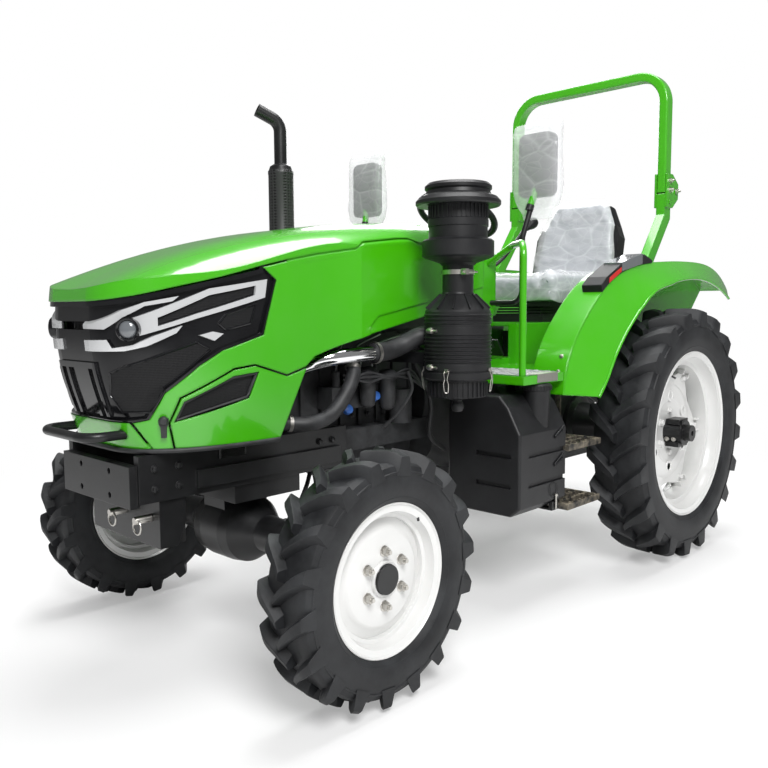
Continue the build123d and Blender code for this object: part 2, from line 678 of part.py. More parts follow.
with BuildPart() as grille:
    add(recess_outer.part)
    add(recess_inner.part, mode=Mode.SUBTRACT)
    prism(FACE_OUTLINE, 600, Mode.INTERSECT)
    slab(FRONT_X + 480, FRONT_X + 700, -NOSE_SLOT_Y, NOSE_SLOT_Y, 1104, 1128, Mode.SUBTRACT)
    add(face_rim.part)
    add(nose_ribs.part)
save(grille, "grille")

lamp_inner = hood_form(RECESS - FIT)
LAMP_STRIPS = (
    ((580, 1108), (560, 1130), (520, 1160), (470, 1182), (382, 1199), (400, 1184), (470, 1171), (520, 1139), (552, 1106)),
    ((497, 1138), (453, 1156), (293, 1221), (88, 1252), (98, 1196), (329, 1136), (446, 1100), (496, 1084)),
    ((580, 1074), (548, 1077), (539, 1053), (500, 1062), (450, 1087), (375, 1115), (392, 1094), (468, 1058),
     (517, 1045), (580, 1043)),
    ((327, 1086), (286, 1096), (251, 1089), (281, 1069)),
)
LAMP_BAY = ((440, 1138), (293, 1202), (132, 1232), (136, 1203), (329, 1150), (440, 1114))
with BuildPart() as lamp_shapes:
    for strip in LAMP_STRIPS:
        prism(ahead(strip), 600)
    prism(ahead(LAMP_BAY), 600, Mode.SUBTRACT)
    with BuildSketch(Plane(origin=(FRONT_X + 508, 222, 1106), z_dir=(0.72, 0.69, 0))):
        Circle(26)
    extrude(amount=60, both=True)

with BuildPart() as headlamp_left:
    add(lamp_outer.part)
    add(lamp_inner.part, mode=Mode.SUBTRACT)
    add(lamp_shapes.part, mode=Mode.INTERSECT)
    slab(HOOD_REAR, FRONT_X + 700, 76, 600, 600, 1700, Mode.INTERSECT)
save(headlamp_left, "headlamp_left")
save(mirrored(headlamp_left), "headlamp_right")


# Intake, exhaust and hoses on the engine
AIR_X = FRONT_X - 618
AIR_Y = 500
AIR_R = 117
RIBS = [970 + 13.5 * number for number in range(8)] + [1104 + 13.5 * number for number in range(3)]
with BuildPart() as air_cleaner:
    can = [(16, 812), (16, 830), (62, 842), (104, 846), (104, 905), (118, 908), (125, 914), (125, 934), (AIR_R, 938)]
    for z in RIBS:
        can += [(AIR_R, z), (AIR_R + 4, z + 3), (AIR_R + 4, z + 6), (AIR_R, z + 9)]
    can += [(AIR_R, 1148), (AIR_R - 4, 1154), (64, 1206), (58, 1210), (55, 1216), (55, 1310)]
    turned(can, AIR_X, AIR_Y)
    for number in range(12):
        with Locations(Location((AIR_X, AIR_Y, 1181), (0, 0, 30 * number))):
            with Locations(Location((88, 0, 2), (0, 44, 0))):
                Box(72, 5, 10)
    slab(AIR_X - 60, AIR_X + 60, ENGINE_RIB_Y + FIT, AIR_Y - 90, 960, 1000)
save(air_cleaner, "air_cleaner")

with BuildPart() as precleaner:
    turned(((58, 1310), (66, 1318), (118, 1336), (127, 1342), (127, 1394), (120, 1400), (107, 1402), (104, 1406),
            (104, 1442), (107, 1445), (107, 1468), (104, 1471), (102, 1519), (146, 1516), (150, 1521), (150, 1532),
            (138, 1546), (116, 1556), (112, 1568), (118, 1574), (118, 1584), (108, 1594), (92, 1594), (86, 1586)),
           AIR_X, AIR_Y)
save(precleaner, "precleaner")

PIPE_X = FRONT_X - 580
PIPE_Y = -430
with BuildPart() as exhaust:
    turned(((34, 1006), (52, 1022), (52, 1744), (46, 1762), (30, 1772)), PIPE_X, PIPE_Y)
    slab(PIPE_X - 45, PIPE_X + 45, PIPE_Y, -MANIFOLD_OUT - FIT, 1050, 1098)
    add(bent_tube(((PIPE_X, PIPE_Y, 1760), (PIPE_X, PIPE_Y, 1945), (PIPE_X + 90, PIPE_Y - 40, 1990)),
                  27, 60, 22).part)
save(exhaust, "exhaust")


# Cowl, platform, steps, tank
with BuildPart() as steering_column:
    lean = Plane(origin=(WHEEL_X, 0, WHEEL_Z), z_dir=(sin(radians(WHEEL_TILT)), 0, -cos(radians(WHEEL_TILT))))
    with BuildSketch(lean.offset(26 + FIT)):
        Circle(30)
    with BuildSketch(lean.offset(226)):
        Circle(46)
    loft()
save(steering_column, "steering_column")

with BuildPart() as cowl:
    with BuildSketch(Plane.YZ.offset(COWL_REAR)):
        with BuildLine():
            Spline((-COWL_HALF_W, 1372), (0, 1484), (COWL_HALF_W, 1372), tangents=((0.55, 0.8), (0.55, -0.8)))
            Polyline((COWL_HALF_W, 1372), (COWL_HALF_W, 1150), (COWL_HALF_W - 60, 1010), (60 - COWL_HALF_W, 1010),
                     (-COWL_HALF_W, 1150), (-COWL_HALF_W, 1372))
        make_face()
    extrude(amount=COWL_FRONT - COWL_REAR)
    prism(((COWL_REAR + 40, 1440), (COWL_REAR + 60, 1512), (COWL_REAR + 10, 1518), (COWL_REAR - 36, 1430),
           (COWL_REAR - 20, 1360), (COWL_REAR + 40, 1360)), 150)
    bar_y(HINGE_X, HINGE_Z, -COWL_HALF_W, COWL_HALF_W, LID_SWING, Mode.SUBTRACT)
    for sign in (-1, 1):
        bar_y(HINGE_X, HINGE_Z, sign * HINGE_Y - 30, sign * HINGE_Y + 30, HINGE_R)
        for face in (-1, 1):
            ear_y = sign * HINGE_Y + face * 24
            slab(HINGE_X - HINGE_R, HINGE_X + 12, ear_y - 6, ear_y + 6, HINGE_Z - 64, HINGE_Z + 8)
            slab(COWL_FRONT - 10, HINGE_X + 12, ear_y - 6, ear_y + 6, HINGE_Z - 64, HINGE_Z - 36)
    add(steering_column.part, mode=Mode.SUBTRACT)
save(cowl, "cowl")

FLOOR_SIDE = 620
FOLD = 34                     # folded edge of the floor
with BuildPart() as platform:
    for sign in (-1, 1):
        inner = sorted((sign * 195, sign * 445))
        outer = sorted((sign * 440, sign * FLOOR_SIDE))
        panel = sorted((sign * 195, sign * 240))
        edge = sorted((sign * (FLOOR_SIDE - 14), sign * FLOOR_SIDE))
        slab(PLATFORM_REAR, PLATFORM_FRONT, *inner, FLOOR_Z - FLOOR_T, FLOOR_Z)
        slab(PLATFORM_REAR + 290, PLATFORM_FRONT, *outer, FLOOR_Z - FLOOR_T, FLOOR_Z)
        slab(PLATFORM_REAR + 290, PLATFORM_FRONT, *edge, FLOOR_Z - FOLD, FLOOR_Z)
        slab(REAR_X + 100, PLATFORM_REAR + 60, *panel, FLOOR_Z - FLOOR_T, 1090)
    slab(PLATFORM_FRONT - 18, PLATFORM_FRONT, -FLOOR_SIDE, -300, FLOOR_Z - FOLD, FLOOR_Z)
    slab(PLATFORM_FRONT - 18, PLATFORM_FRONT, 300, FLOOR_SIDE, FLOOR_Z - FOLD, FLOOR_Z)
    slab(PLATFORM_REAR, COWL_REAR + 60, -200, 200, FLOOR_Z - FLOOR_T, FLOOR_Z + 30)
    slab(REAR_X - 160, REAR_X + 400, -240, 240, 1070, 1090)
save(platform, "platform")

TANK_REAR = PLATFORM_FRONT - 270
TANK_FRONT = PLATFORM_FRONT + 50
TANK_GROOVES = (492, 606)
with BuildPart() as tank_body:
    with BuildSketch(Plane.YZ.offset(TANK_REAR)) as tank_face:
        with BuildLine():
            Polyline((300, 375), (596, 375), (640, 410), (640, 690), (585, 790), (545, 830), (300, 830), close=True)
        make_face()
        fillet(tank_face.vertices(), 14)
    extrude(amount=TANK_FRONT - TANK_REAR)
    fillet(tank_body.faces().sort_by(Axis.X)[-1].edges(), 12)
    for z in TANK_GROOVES:
        slab(TANK_REAR - 5, TANK_FRONT - 60, 630, 660, z - 9, z + 9, Mode.SUBTRACT)
        slab(TANK_FRONT - 10, TANK_FRONT + 20, 440, 600, z - 9, z + 9, Mode.SUBTRACT)

with BuildPart() as fuel_tank:
    add(tank_body.part)
    turned(((46, 690), (52, 842), (56, 844), (56, 862), (50, 868)), TANK_REAR + 130, 588)
    for x in (TANK_REAR + 60, TANK_FRONT - 110):
        slab(x, x + 30, 420, 460, 820, FLOOR_Z - FLOOR_T)
save(fuel_tank, "fuel_tank")

with BuildPart() as battery_box:
    slab(TANK_REAR + 40, TANK_FRONT, -620, -300, 480, 800)
    fillet(battery_box.edges().filter_by(Axis.Z), 16)
    slab(TANK_REAR + 32, TANK_FRONT + 8, -630, -290, 800, 826)
    for number in range(5):
        rib_x = TANK_REAR + 70 + number * 50
        slab(rib_x, rib_x + 12, -626, -600, 500, 790)
    for x in (TANK_REAR + 60, TANK_FRONT - 110):
        slab(x, x + 30, -460, -420, 820, FLOOR_Z - FLOOR_T)
save(battery_box, "battery_box")

STEP_REAR = REAR_X + REAR_TYRE_R + 18
STEP_FRONT = TANK_REAR - 10
with BuildPart() as steps:
    for sign in (-1, 1):
        for z in (590, 350):
            slab(STEP_REAR, STEP_FRONT, sign * 545 - 105, sign * 545 + 105, z, z + 24)
            for number in range(4):
                hole_y = sign * 545 - 72 + number * 48
                slab(STEP_REAR + 24, STEP_FRONT - 24, hole_y - 16, hole_y + 16, z + 6, z + 30, Mode.SUBTRACT)
        for x in (STEP_REAR, STEP_FRONT - 12):
            slab(x, x + 12, sign * 446 - 12, sign * 446 + 12, 350, FLOOR_Z - FLOOR_T)
save(steps, "steps")

handrail_left = bent_tube(((PLATFORM_FRONT - 20, FLOOR_SIDE - 20, FLOOR_Z), (PLATFORM_FRONT - 20, FLOOR_SIDE - 20, 1400),
                           (COWL_FRONT - 60, 420, 1410), (COWL_FRONT - 60, COWL_HALF_W - 6, 1340)), 13, 60)
with BuildPart() as handrails:
    add(handrail_left.part)
    add(cowl.part, mode=Mode.SUBTRACT)
    mirror(about=Plane.XZ)
save(handrails, "handrails")


# Fenders: outlines in X and Z ahead of the rear axle, for the full tyre
FENDER_FOR = 576
CREASE = ((851, 813), (766, 1029), (650, 1149), (545, 1232), (380, 1311), (112, 1360), (-330, 1381), (-652, 1346),
          (-828, 1248))
LIP = ((712, 800), (658, 856), (587, 944), (489, 1048), (385, 1131), (231, 1229), (95, 1263), (-263, 1293),
       (-640, 1200))
FENDER_IN = ROPS_HALF_W + 5
FENDER_CREASE = 620
FENDER_OUT = 700
SHEET = 5


def over_wheel(points, inset=0):
    """Fender outline scaled to the tyre and moved towards the axle by inset."""
    scale = REAR_TYRE_R / FENDER_FOR
    moved = []
    for x, z in points:
        rise = z - FENDER_FOR
        share = scale * (1 - inset / hypot(x, rise))
        moved.append((REAR_X + x * share, REAR_TYRE_R + rise * share))
    return moved


with BuildPart() as fender_left:
    for across, line in ((FENDER_IN, CREASE), (FENDER_CREASE, CREASE), (FENDER_OUT, LIP)):
        with BuildSketch(Plane.XZ.offset(-across)):
            with BuildLine():
                upper = Spline(*over_wheel(line))
                lower = Spline(*over_wheel(line, SHEET))
                Line(upper @ 0, lower @ 0)
                Line(upper @ 1, lower @ 1)
            make_face()
    loft(ruled=True)
    with BuildSketch(Plane.XZ.offset(-FENDER_IN)) as wall:
        with BuildLine():
            top = Spline(*over_wheel(CREASE))
            Polyline(top @ 1, *over_wheel(((-560, 1000), (-300, 760), (300, 760), (700, 800))), top @ 0)
        make_face()
    extrude(wall.sketch, amount=SHEET)
save(fender_left, "fender_left")
save(mirrored(fender_left), "fender_right")

with BuildPart() as lamp_ground:
    with BuildSketch(Plane.XZ.offset(-FENDER_IN)) as ground:
        with BuildLine():
            top = Spline(*over_wheel(CREASE))
            Line(top @ 1, top @ 0)
        make_face()
    extrude(ground.sketch, amount=-200)

with BuildPart() as lamp_left:
    with BuildSketch(Plane.XZ.offset(-532)) as side_view:
        with BuildLine():
            Polyline(*over_wheel(((545, 1180), (566, 1252), (520, 1288), (380, 1352), (180, 1396), (96, 1372), (120, 1300))),
                     close=True)
        make_face()
    extrude(side_view.sketch, amount=-92)
    fillet(lamp_left.edges().filter_by(Axis.Y), 6)
    add(lamp_ground.part, mode=Mode.SUBTRACT)
lamp_twin = mirror(lamp_left.part, about=Plane.XZ)
with BuildPart() as fender_lamps:
    add(lamp_left.part)
    add(lamp_twin)
save(fender_lamps, "fender_lamps")


# Seat
SEAT_Z = 1190
CUSHION_REAR = REAR_X - 190
BACK_LEAN = 13
with BuildPart() as seat_base:
    slab(REAR_X - 160, REAR_X + 260, -150, 150, 1090, 1120)
    for number in range(4):
        slab(REAR_X - 150, REAR_X + 250, -140 + 8 * number, 140 - 8 * number, 1120 + 14 * number, 1129 + 14 * number)
    slab(REAR_X - 60, REAR_X + 160, -60, 60, 1110, 1180)
    slab(REAR_X - 180, REAR_X + 270, -190, 190, 1166, SEAT_Z)
save(seat_base, "seat_base")

with BuildPart() as seat_cushion:
    with BuildSketch(Plane.YZ.offset(CUSHION_REAR)):
        with BuildLine():
            Polyline((-226, SEAT_Z), (-240, 1236), (-226, 1300), (-190, 1318), (-150, 1304), (150, 1304), (190, 1318),
                     (226, 1300), (240, 1236), (226, SEAT_Z), close=True)
        make_face()
    extrude(amount=490)
    fillet(seat_cushion.edges().filter_by(Axis.X).sort_by(Axis.Z)[2:], 12)
    fillet(seat_cushion.faces().sort_by(Axis.X)[-1].edges(), 26)
save(seat_cushion, "seat_cushion")

back_plane = Plane(origin=(CUSHION_REAR - FIT, 0, SEAT_Z + 30), x_dir=(0, 1, 0),
                   z_dir=(cos(radians(BACK_LEAN)), 0, sin(radians(BACK_LEAN))))
BACK_OUTLINE = ((-218, 60), (-228, 190), (-205, 380), (-150, 510), (150, 510), (205, 380), (228, 190), (218, 60))
with BuildPart() as seat_back:
    with BuildSketch(back_plane.offset(-24)) as back_face:
        with BuildLine():
            Polyline(*BACK_OUTLINE, close=True)
        make_face()
        fillet(back_face.vertices(), 40)
    extrude(amount=-78)
    fillet(seat_back.faces().sort_by(Axis.X)[-1].edges(), 20)
save(seat_back, "seat_back")

with BuildPart() as seat_shell:
    with BuildSketch(back_plane.offset(-24 - 78)) as shell_face:
        with BuildLine():
            Polyline((-242, 40), (-252, 190), (-222, 390), (-160, 520), (160, 520), (222, 390), (252, 190), (242, 40),
                     close=True)
        make_face()
        fillet(shell_face.vertices(), 40)
    extrude(amount=-14)
    for sign in (-1, 1):
        with BuildSketch(back_plane.offset(-24 - 78 + 62)) as wing:
            with BuildLine():
                Polyline((sign * 234, 110), (sign * 254, 130), (sign * 252, 330), (sign * 226, 390), (sign * 214, 385),
                         close=True)
            make_face()
        extrude(wing.sketch, amount=-64)
    add(seat_back.part, mode=Mode.SUBTRACT)
    slab(CUSHION_REAR - 150, CUSHION_REAR + 10 - FIT, -60, 60, SEAT_Z - 24, SEAT_Z - FIT)
    prism(((CUSHION_REAR - 150, SEAT_Z - 24), (CUSHION_REAR - 150, SEAT_Z + 110), (CUSHION_REAR - 128, SEAT_Z + 110),
           (CUSHION_REAR - 110, SEAT_Z - 24)), 60)
save(seat_shell, "seat_shell")


# Roll bar: fixed posts with hinge plates, and the folding hoop
POST_Y = ROPS_HALF_W - ROPS_W / 2
with BuildPart() as rops_posts:
    for sign in (-1, 1):
        lean = ((ROPS_X - ROPS_D / 2, ROPS_SPLIT), (ROPS_X + ROPS_D / 2, ROPS_SPLIT),
                (ROPS_X + ROPS_D / 2, ROPS_SPLIT - 105), (REAR_X - 170, ROPS_KNEE), (REAR_X - 30, ROPS_FOOT),
                (REAR_X - 100, ROPS_FOOT), (REAR_X - 240, ROPS_KNEE - 8), (ROPS_X - ROPS_D / 2, ROPS_SPLIT - 125))
        prism(lean, ROPS_W / 2, centre=sign * POST_Y)
        for face in (-1, 1):
            plate_y = sign * POST_Y + face * (ROPS_W / 2 + 5 + 1)
            prism(((ROPS_X + 34, FOLD_Z - 87), (ROPS_X + 34, FOLD_Z + 83), (ROPS_X - 30, FOLD_Z + 83),
                   (FOLD_X - 32, FOLD_Z + 38), (FOLD_X - 32, FOLD_Z - 37), (ROPS_X - 34, FOLD_Z - 87)), 5,
                  centre=plate_y)
        bar_y(FOLD_X, FOLD_Z, sign * POST_Y - ROPS_W / 2 - 16, sign * POST_Y + ROPS_W / 2 + 16, 12)
        bar_y(ROPS_X, FOLD_Z - 57, sign * POST_Y - ROPS_W / 2 - 16, sign * POST_Y + ROPS_W / 2 + 16, 12)
save(rops_posts, "rops_posts")

with BuildPart() as rops_hoop:
    with BuildLine() as hoop_path:
        FilletPolyline((ROPS_X, -POST_Y, ROPS_SPLIT + 6), (ROPS_X, -POST_Y, ROPS_TOP - ROPS_W / 2),
                       (ROPS_X, POST_Y, ROPS_TOP - ROPS_W / 2), (ROPS_X, POST_Y, ROPS_SPLIT + 6),
                       radius=ROPS_BEND - ROPS_W / 2)
    with BuildSketch(Plane(origin=hoop_path.line @ 0, x_dir=(1, 0, 0), z_dir=hoop_path.line % 0)):
        RectangleRounded(ROPS_D, ROPS_W, 8)
    sweep(path=hoop_path.line)
    for sign in (-1, 1):
        slab(FOLD_X, ROPS_X, sign * POST_Y - 20, sign * POST_Y + 20, ROPS_SPLIT + 6, ROPS_SPLIT + 50)
        bar_y(FOLD_X, FOLD_Z + 4, sign * POST_Y - 20, sign * POST_Y + 20, 26)
        bar_y(FOLD_X, FOLD_Z, sign * POST_Y - 30, sign * POST_Y + 30, 12 + FIT, Mode.SUBTRACT)
save(rops_hoop, "rops_hoop")


# Steering wheel
with BuildPart() as steering_wheel:
    Torus(WHEEL_R - 14, 14)
    with Locations((0, 0, -6)):
        Cylinder(46, 40)
    for turn in (90, 210, 330):
        with Locations(Location((0, 0, -6), (0, 0, turn))):
            with Locations((WHEEL_R / 2 - 6, 0, 0)):
                Box(WHEEL_R - 28, 26, 12)
with BuildPart() as steering_wheel_placed:
    add(steering_wheel.part.moved(Location((WHEEL_X, 0, WHEEL_Z), (0, -WHEEL_TILT, 0))))
save(steering_wheel_placed, "steering_wheel")


# Mirrors and levers
MIRROR_X = COWL_FRONT - 137
with BuildPart() as mirror_head:
    slab(MIRROR_X - 20, MIRROR_X + 14, 400, 560, 1600, 1850)
    fillet(mirror_head.edges().filter_by(Axis.X), 30)

with BuildPart() as mirror_left:
    add(bent_tube(((COWL_FRONT - 80, COWL_HALF_W, 1180), (COWL_FRONT - 80, 450, 1180), (COWL_FRONT - 80, 450, 1440),
                   (MIRROR_X - 10, 490, 1700)), 11, 50).part)
    add(mirror_head.part)
save(mirror_left, "mirror_left")
save(mirrored(mirror_left), "mirror_right")

with BuildPart() as levers:
    for x, y in ((REAR_X + 300, -300), (REAR_X + 220, -300)):
        post(x, y, FLOOR_Z + 180, 1330, 8)
        with Locations((x, y, 1340)):
            Sphere(22)
    slab(REAR_X + 150, REAR_X + 380, -345, -240, 1060, 1110)
save(levers, "levers")


# Hitch
with BuildPart() as drawbar:
    slab(REAR_X - 520, REAR_X - 100, -35, 35, 340, 370)
    slab(REAR_X - 190, REAR_X - 90, -110, 110, 370, 400)
    post(REAR_X - 480, 0, 330, 380, 16.5, Mode.SUBTRACT)
save(drawbar, "drawbar")

with BuildPart() as lower_links:
    for sign in (-1, 1):
        prism(((LINK_PIVOT_X, LINK_PIVOT_Z - 32), (LINK_PIVOT_X, LINK_PIVOT_Z + 32),
               (LINK_EYE_X, LINK_PIVOT_Z + 32), (LINK_EYE_X, LINK_PIVOT_Z - 32)), 9, centre=sign * LINK_Y)
        for x in (LINK_PIVOT_X, LINK_EYE_X):
            bar_y(x, LINK_PIVOT_Z, sign * LINK_Y - 18, sign * LINK_Y + 18, 38)
        bar_y(LINK_EYE_X, LINK_PIVOT_Z, sign * LINK_Y - 30, sign * LINK_Y + 30, 11.2, Mode.SUBTRACT)
        bar_y(LINK_PIVOT_X, LINK_PIVOT_Z, sign * LINK_Y - 30, sign * LINK_Y + 30, 14 + FIT, Mode.SUBTRACT)
        rod_y = sign * (LINK_Y + 30)
        bar_y(LINK_PIVOT_X - LINK_ARM, LINK_PIVOT_Z, min(sign * LINK_Y, rod_y + sign * 24),
              max(sign * LINK_Y, rod_y + sign * 24), 10)
save(lower_links, "lower_links")

with BuildPart() as lift_arms:
    bar_y(LINK_PIVOT_X, ARM_PIVOT_Z, -235, 235, 32)
    for sign in (-1, 1):
        prism(((LINK_PIVOT_X, ARM_PIVOT_Z - 40), (LINK_PIVOT_X, ARM_PIVOT_Z + 40),
               (LINK_PIVOT_X - LINK_ARM, ARM_PIVOT_Z + 26), (LINK_PIVOT_X - LINK_ARM, ARM_PIVOT_Z - 26)), 13,
              centre=sign * 222)
        bar_y(LINK_PIVOT_X - LINK_ARM, ARM_PIVOT_Z, min(sign * 222, sign * 300), max(sign * 222, sign * 300), 10)
save(lift_arms, "lift_arms")

with BuildPart() as lift_rods:
    for sign in (-1, 1):
        rod_y = sign * (LINK_Y + 30)
        post(LINK_PIVOT_X - LINK_ARM, rod_y, LINK_PIVOT_Z, ARM_PIVOT_Z, 13)
        for z in (LINK_PIVOT_Z, ARM_PIVOT_Z):
            bar_y(LINK_PIVOT_X - LINK_ARM, z, rod_y - 15, rod_y + 15, 24)
            bar_y(LINK_PIVOT_X - LINK_ARM, z, rod_y - 20, rod_y + 20, 10 + FIT, Mode.SUBTRACT)
save(lift_rods, "lift_rods")
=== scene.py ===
"""Looks of the farm tractor: materials, tyres, rims, trim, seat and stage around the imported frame."""

import json
import math

import bmesh
import bpy
from bpy.props import FloatProperty, FloatVectorProperty, IntProperty, PointerProperty
from mathutils import Matrix, Vector, noise
from mathutils.bvhtree import BVHTree


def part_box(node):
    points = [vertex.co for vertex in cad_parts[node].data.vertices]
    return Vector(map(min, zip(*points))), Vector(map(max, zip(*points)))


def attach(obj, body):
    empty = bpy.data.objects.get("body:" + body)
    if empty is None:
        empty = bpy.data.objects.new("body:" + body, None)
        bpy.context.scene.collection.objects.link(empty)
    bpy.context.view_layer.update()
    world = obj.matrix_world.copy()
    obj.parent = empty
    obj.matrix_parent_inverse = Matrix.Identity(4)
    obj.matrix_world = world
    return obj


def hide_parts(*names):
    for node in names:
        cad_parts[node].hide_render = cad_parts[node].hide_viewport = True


bl_info = {
    "name": "Farm Tractor Looks",
    "version": (1, 0, 0),
    "blender": (4, 5, 0),
    "location": "View3D > Sidebar > Tractor",
    "description": "Dresses the packed farm tractor with detailed pieces and procedural materials",
    "category": "Object",
}

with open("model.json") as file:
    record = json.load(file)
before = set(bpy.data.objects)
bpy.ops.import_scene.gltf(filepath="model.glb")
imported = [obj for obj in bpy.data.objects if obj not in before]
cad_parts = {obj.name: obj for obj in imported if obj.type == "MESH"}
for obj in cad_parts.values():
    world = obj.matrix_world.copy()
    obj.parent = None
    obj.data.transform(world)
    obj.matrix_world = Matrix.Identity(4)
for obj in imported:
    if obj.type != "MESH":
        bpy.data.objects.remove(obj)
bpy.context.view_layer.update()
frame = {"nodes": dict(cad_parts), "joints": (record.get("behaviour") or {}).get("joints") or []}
NODES = frame["nodes"]


def joint_point(name):
    """Where a joint of the record sits, in metres."""
    for joint in frame["joints"]:
        if joint["name"] == name:
            return Vector(joint["pos_m"])
    raise RuntimeError("no joint " + name)


FRONT_X = joint_point("steer_left").x
REAR_X = joint_point("spin_rear_left").x
FRONT_Z = joint_point("spin_front_left").z
REAR_Z = joint_point("spin_rear_left").z
SIDES = (("left", 1), ("right", -1))
# Light of the world on surfaces; what the eye sees directly is full white
WORLD_LIGHT = 0.24
# Soft boxes: name, place, aim, size in metres and power in watts
LAMPS = (("Key", (3.4, 4.6, 5.2), (0.2, 0.2, 0.9), 3.0, 470.0),
         ("Top", (-0.5, 0.0, 6.5), (0.0, 0.0, 0.8), 4.0, 360.0),
         ("Back", (-4.5, -3.5, 4.0), (0.0, 0.0, 1.0), 3.6, 200.0))
# Floor: its radius, where its fade to white starts and ends, and the white share at its middle
FLOOR_RADIUS = 40.0
FADE_START = 1.5
FADE_END = 3.6
FADE_LEAST = 0.35
SENSOR_WIDTH = 36.0
# Grains as (fine scale, coarse scale, share of the coarse one)
PAINT_GRAIN = (900.0, 55.0, 2.0)
RUBBER_GRAIN = (650.0, 40.0, 0.7)
CAST_GRAIN = (260.0, 50.0, 0.8)
GREEN_DUST = (0.3, 0.36, 0.25)
# Height under which the lower panels are dark
SKIRT_FOOT = 0.747
# Steps along a lug from the crown to the shoulder
LUG_STATIONS = 11
# Front wheel: disc radius, nut circle and nut face; rear wheel: disc and both bolt circles
FRONT_DISC = 0.182
FRONT_NUT_CIRCLE = 0.082
FRONT_NUT_FACE = 0.0385
REAR_DISC = 0.302
REAR_DISC_DEPTH = 0.124
REAR_LOOP_CIRCLE = 0.276
REAR_HUB_CIRCLE = 0.098
# Straps round the air cleaner, heights
STRAP_LEVELS = (1.081, 0.953)
# Floor plate of the platform and treads of the steps, heights
FLOOR_LEVEL = 0.905
STEP_LEVELS = (0.614, 0.374)
# Film: its distance from the cushions, the height of its folds and its lean at the back
FILM_GAP = 0.020
FILM_FOLD = 0.008
FILM_LEAN = 0.227
# Foam under the seat covers: grid, pressure, frames and the most a point may move
FOAM_GRID = 0.0065
FOAM_PRESSURE = 3.2
FOAM_FRAMES = 20
FOAM_REACH = 0.022
SEAM_HALF = 0.004
BACK_LEAN = math.radians(13)


class TractorStage(bpy.types.PropertyGroup):
    """Camera, floor and light"""
    camera_place: FloatVectorProperty(
        name="Camera", description="Place of the camera", subtype="TRANSLATION", unit="LENGTH",
        default=(REAR_X + 3.6202, 2.2758, 1.1626))
    yaw: FloatProperty(
        name="Yaw", description="Turn of the view from straight back", subtype="ANGLE",
        default=math.radians(43.6098))
    pitch: FloatProperty(
        name="Pitch", description="Tilt of the view down", subtype="ANGLE", default=math.radians(5.4696))
    roll: FloatProperty(
        name="Roll", description="Roll of the view", subtype="ANGLE", default=math.radians(-0.3191))
    lens: FloatProperty(name="Lens", description="Focal length on a 36 mm sensor", default=37.34)
    floor: FloatVectorProperty(
        name="Floor", description="Floor colour", subtype="COLOR", default=(0.86, 0.86, 0.86))


class TractorPaint(bpy.types.PropertyGroup):
    """Colours of the finishes"""
    green: FloatVectorProperty(
        name="Green", description="Body paint", subtype="COLOR", default=(0.050, 0.40, 0.002))
    black: FloatVectorProperty(
        name="Black", description="Frame paint", subtype="COLOR", default=(0.008, 0.008, 0.0085))
    white: FloatVectorProperty(
        name="White", description="Rim paint", subtype="COLOR", default=(0.70, 0.70, 0.69))
    rubber: FloatVectorProperty(
        name="Rubber", description="Tyre rubber", subtype="COLOR", default=(0.0105, 0.011, 0.0125))
    dust: FloatVectorProperty(
        name="Dust", description="Dust on rubber and plastic", subtype="COLOR", default=(0.16, 0.17, 0.18))
    plastic: FloatVectorProperty(
        name="Plastic", description="Moulded plastic", subtype="COLOR", default=(0.010, 0.010, 0.011))
    vinyl: FloatVectorProperty(
        name="Vinyl", description="Seat cover", subtype="COLOR", default=(0.24, 0.26, 0.30))


class TractorWheels(bpy.types.PropertyGroup):
    """Sizes of tyres and rims"""
    front_radius: FloatProperty(
        name="Front radius", description="To the lug tips", unit="LENGTH", default=0.378)
    front_width: FloatProperty(name="Front width", description="Tyre section", unit="LENGTH", default=0.182)
    front_rim: FloatProperty(name="Front rim", description="Flange radius", unit="LENGTH", default=0.228)
    front_rim_width: FloatProperty(
        name="Front rim width", description="Between flanges", unit="LENGTH", default=0.140)
    front_lugs: IntProperty(name="Front lugs", description="Lugs in each row", default=18)
    front_lug: FloatProperty(name="Front lug", description="Lug height", unit="LENGTH", default=0.030)
    rear_radius: FloatProperty(
        name="Rear radius", description="To the lug tips", unit="LENGTH", default=0.576)
    rear_width: FloatProperty(name="Rear width", description="Tyre section", unit="LENGTH", default=0.250)
    rear_rim: FloatProperty(name="Rear rim", description="Flange radius", unit="LENGTH", default=0.381)
    rear_rim_width: FloatProperty(
        name="Rear rim width", description="Between flanges", unit="LENGTH", default=0.204)
    rear_lugs: IntProperty(name="Rear lugs", description="Lugs in each row", default=20)
    rear_lug: FloatProperty(name="Rear lug", description="Lug height", unit="LENGTH", default=0.036)


# Shader groups
def new_group(name, inputs, outputs):
    """Empty shader group with named sockets, and its input and output nodes."""
    group = bpy.data.node_groups.new(name, "ShaderNodeTree")
    for label, kind, default in inputs:
        socket = group.interface.new_socket(label, in_out="INPUT", socket_type=kind)
        if default is not None:
            socket.default_value = default
    for label, kind in outputs:
        group.interface.new_socket(label, in_out="OUTPUT", socket_type=kind)
    return group, group.nodes.new("NodeGroupInput"), group.nodes.new("NodeGroupOutput")


def preset(node, **values):
    """Set constant inputs of a node, named with underscores for spaces."""
    for label, value in values.items():
        socket = node.inputs[label.replace("_", " ")]
        socket.default_value = (*value[:3], 1.0) if socket.type == "RGBA" else value


def math_node(tree, operation, first, second=None):
    """Math node with its inputs linked or set; gives its output socket."""
    node = tree.nodes.new("ShaderNodeMath")
    node.operation = operation
    for slot, value in enumerate((first, second)):
        if value is None:
            continue
        if isinstance(value, (int, float)):
            node.inputs[slot].default_value = value
        else:
            tree.links.new(value, node.inputs[slot])
    return node.outputs[0]


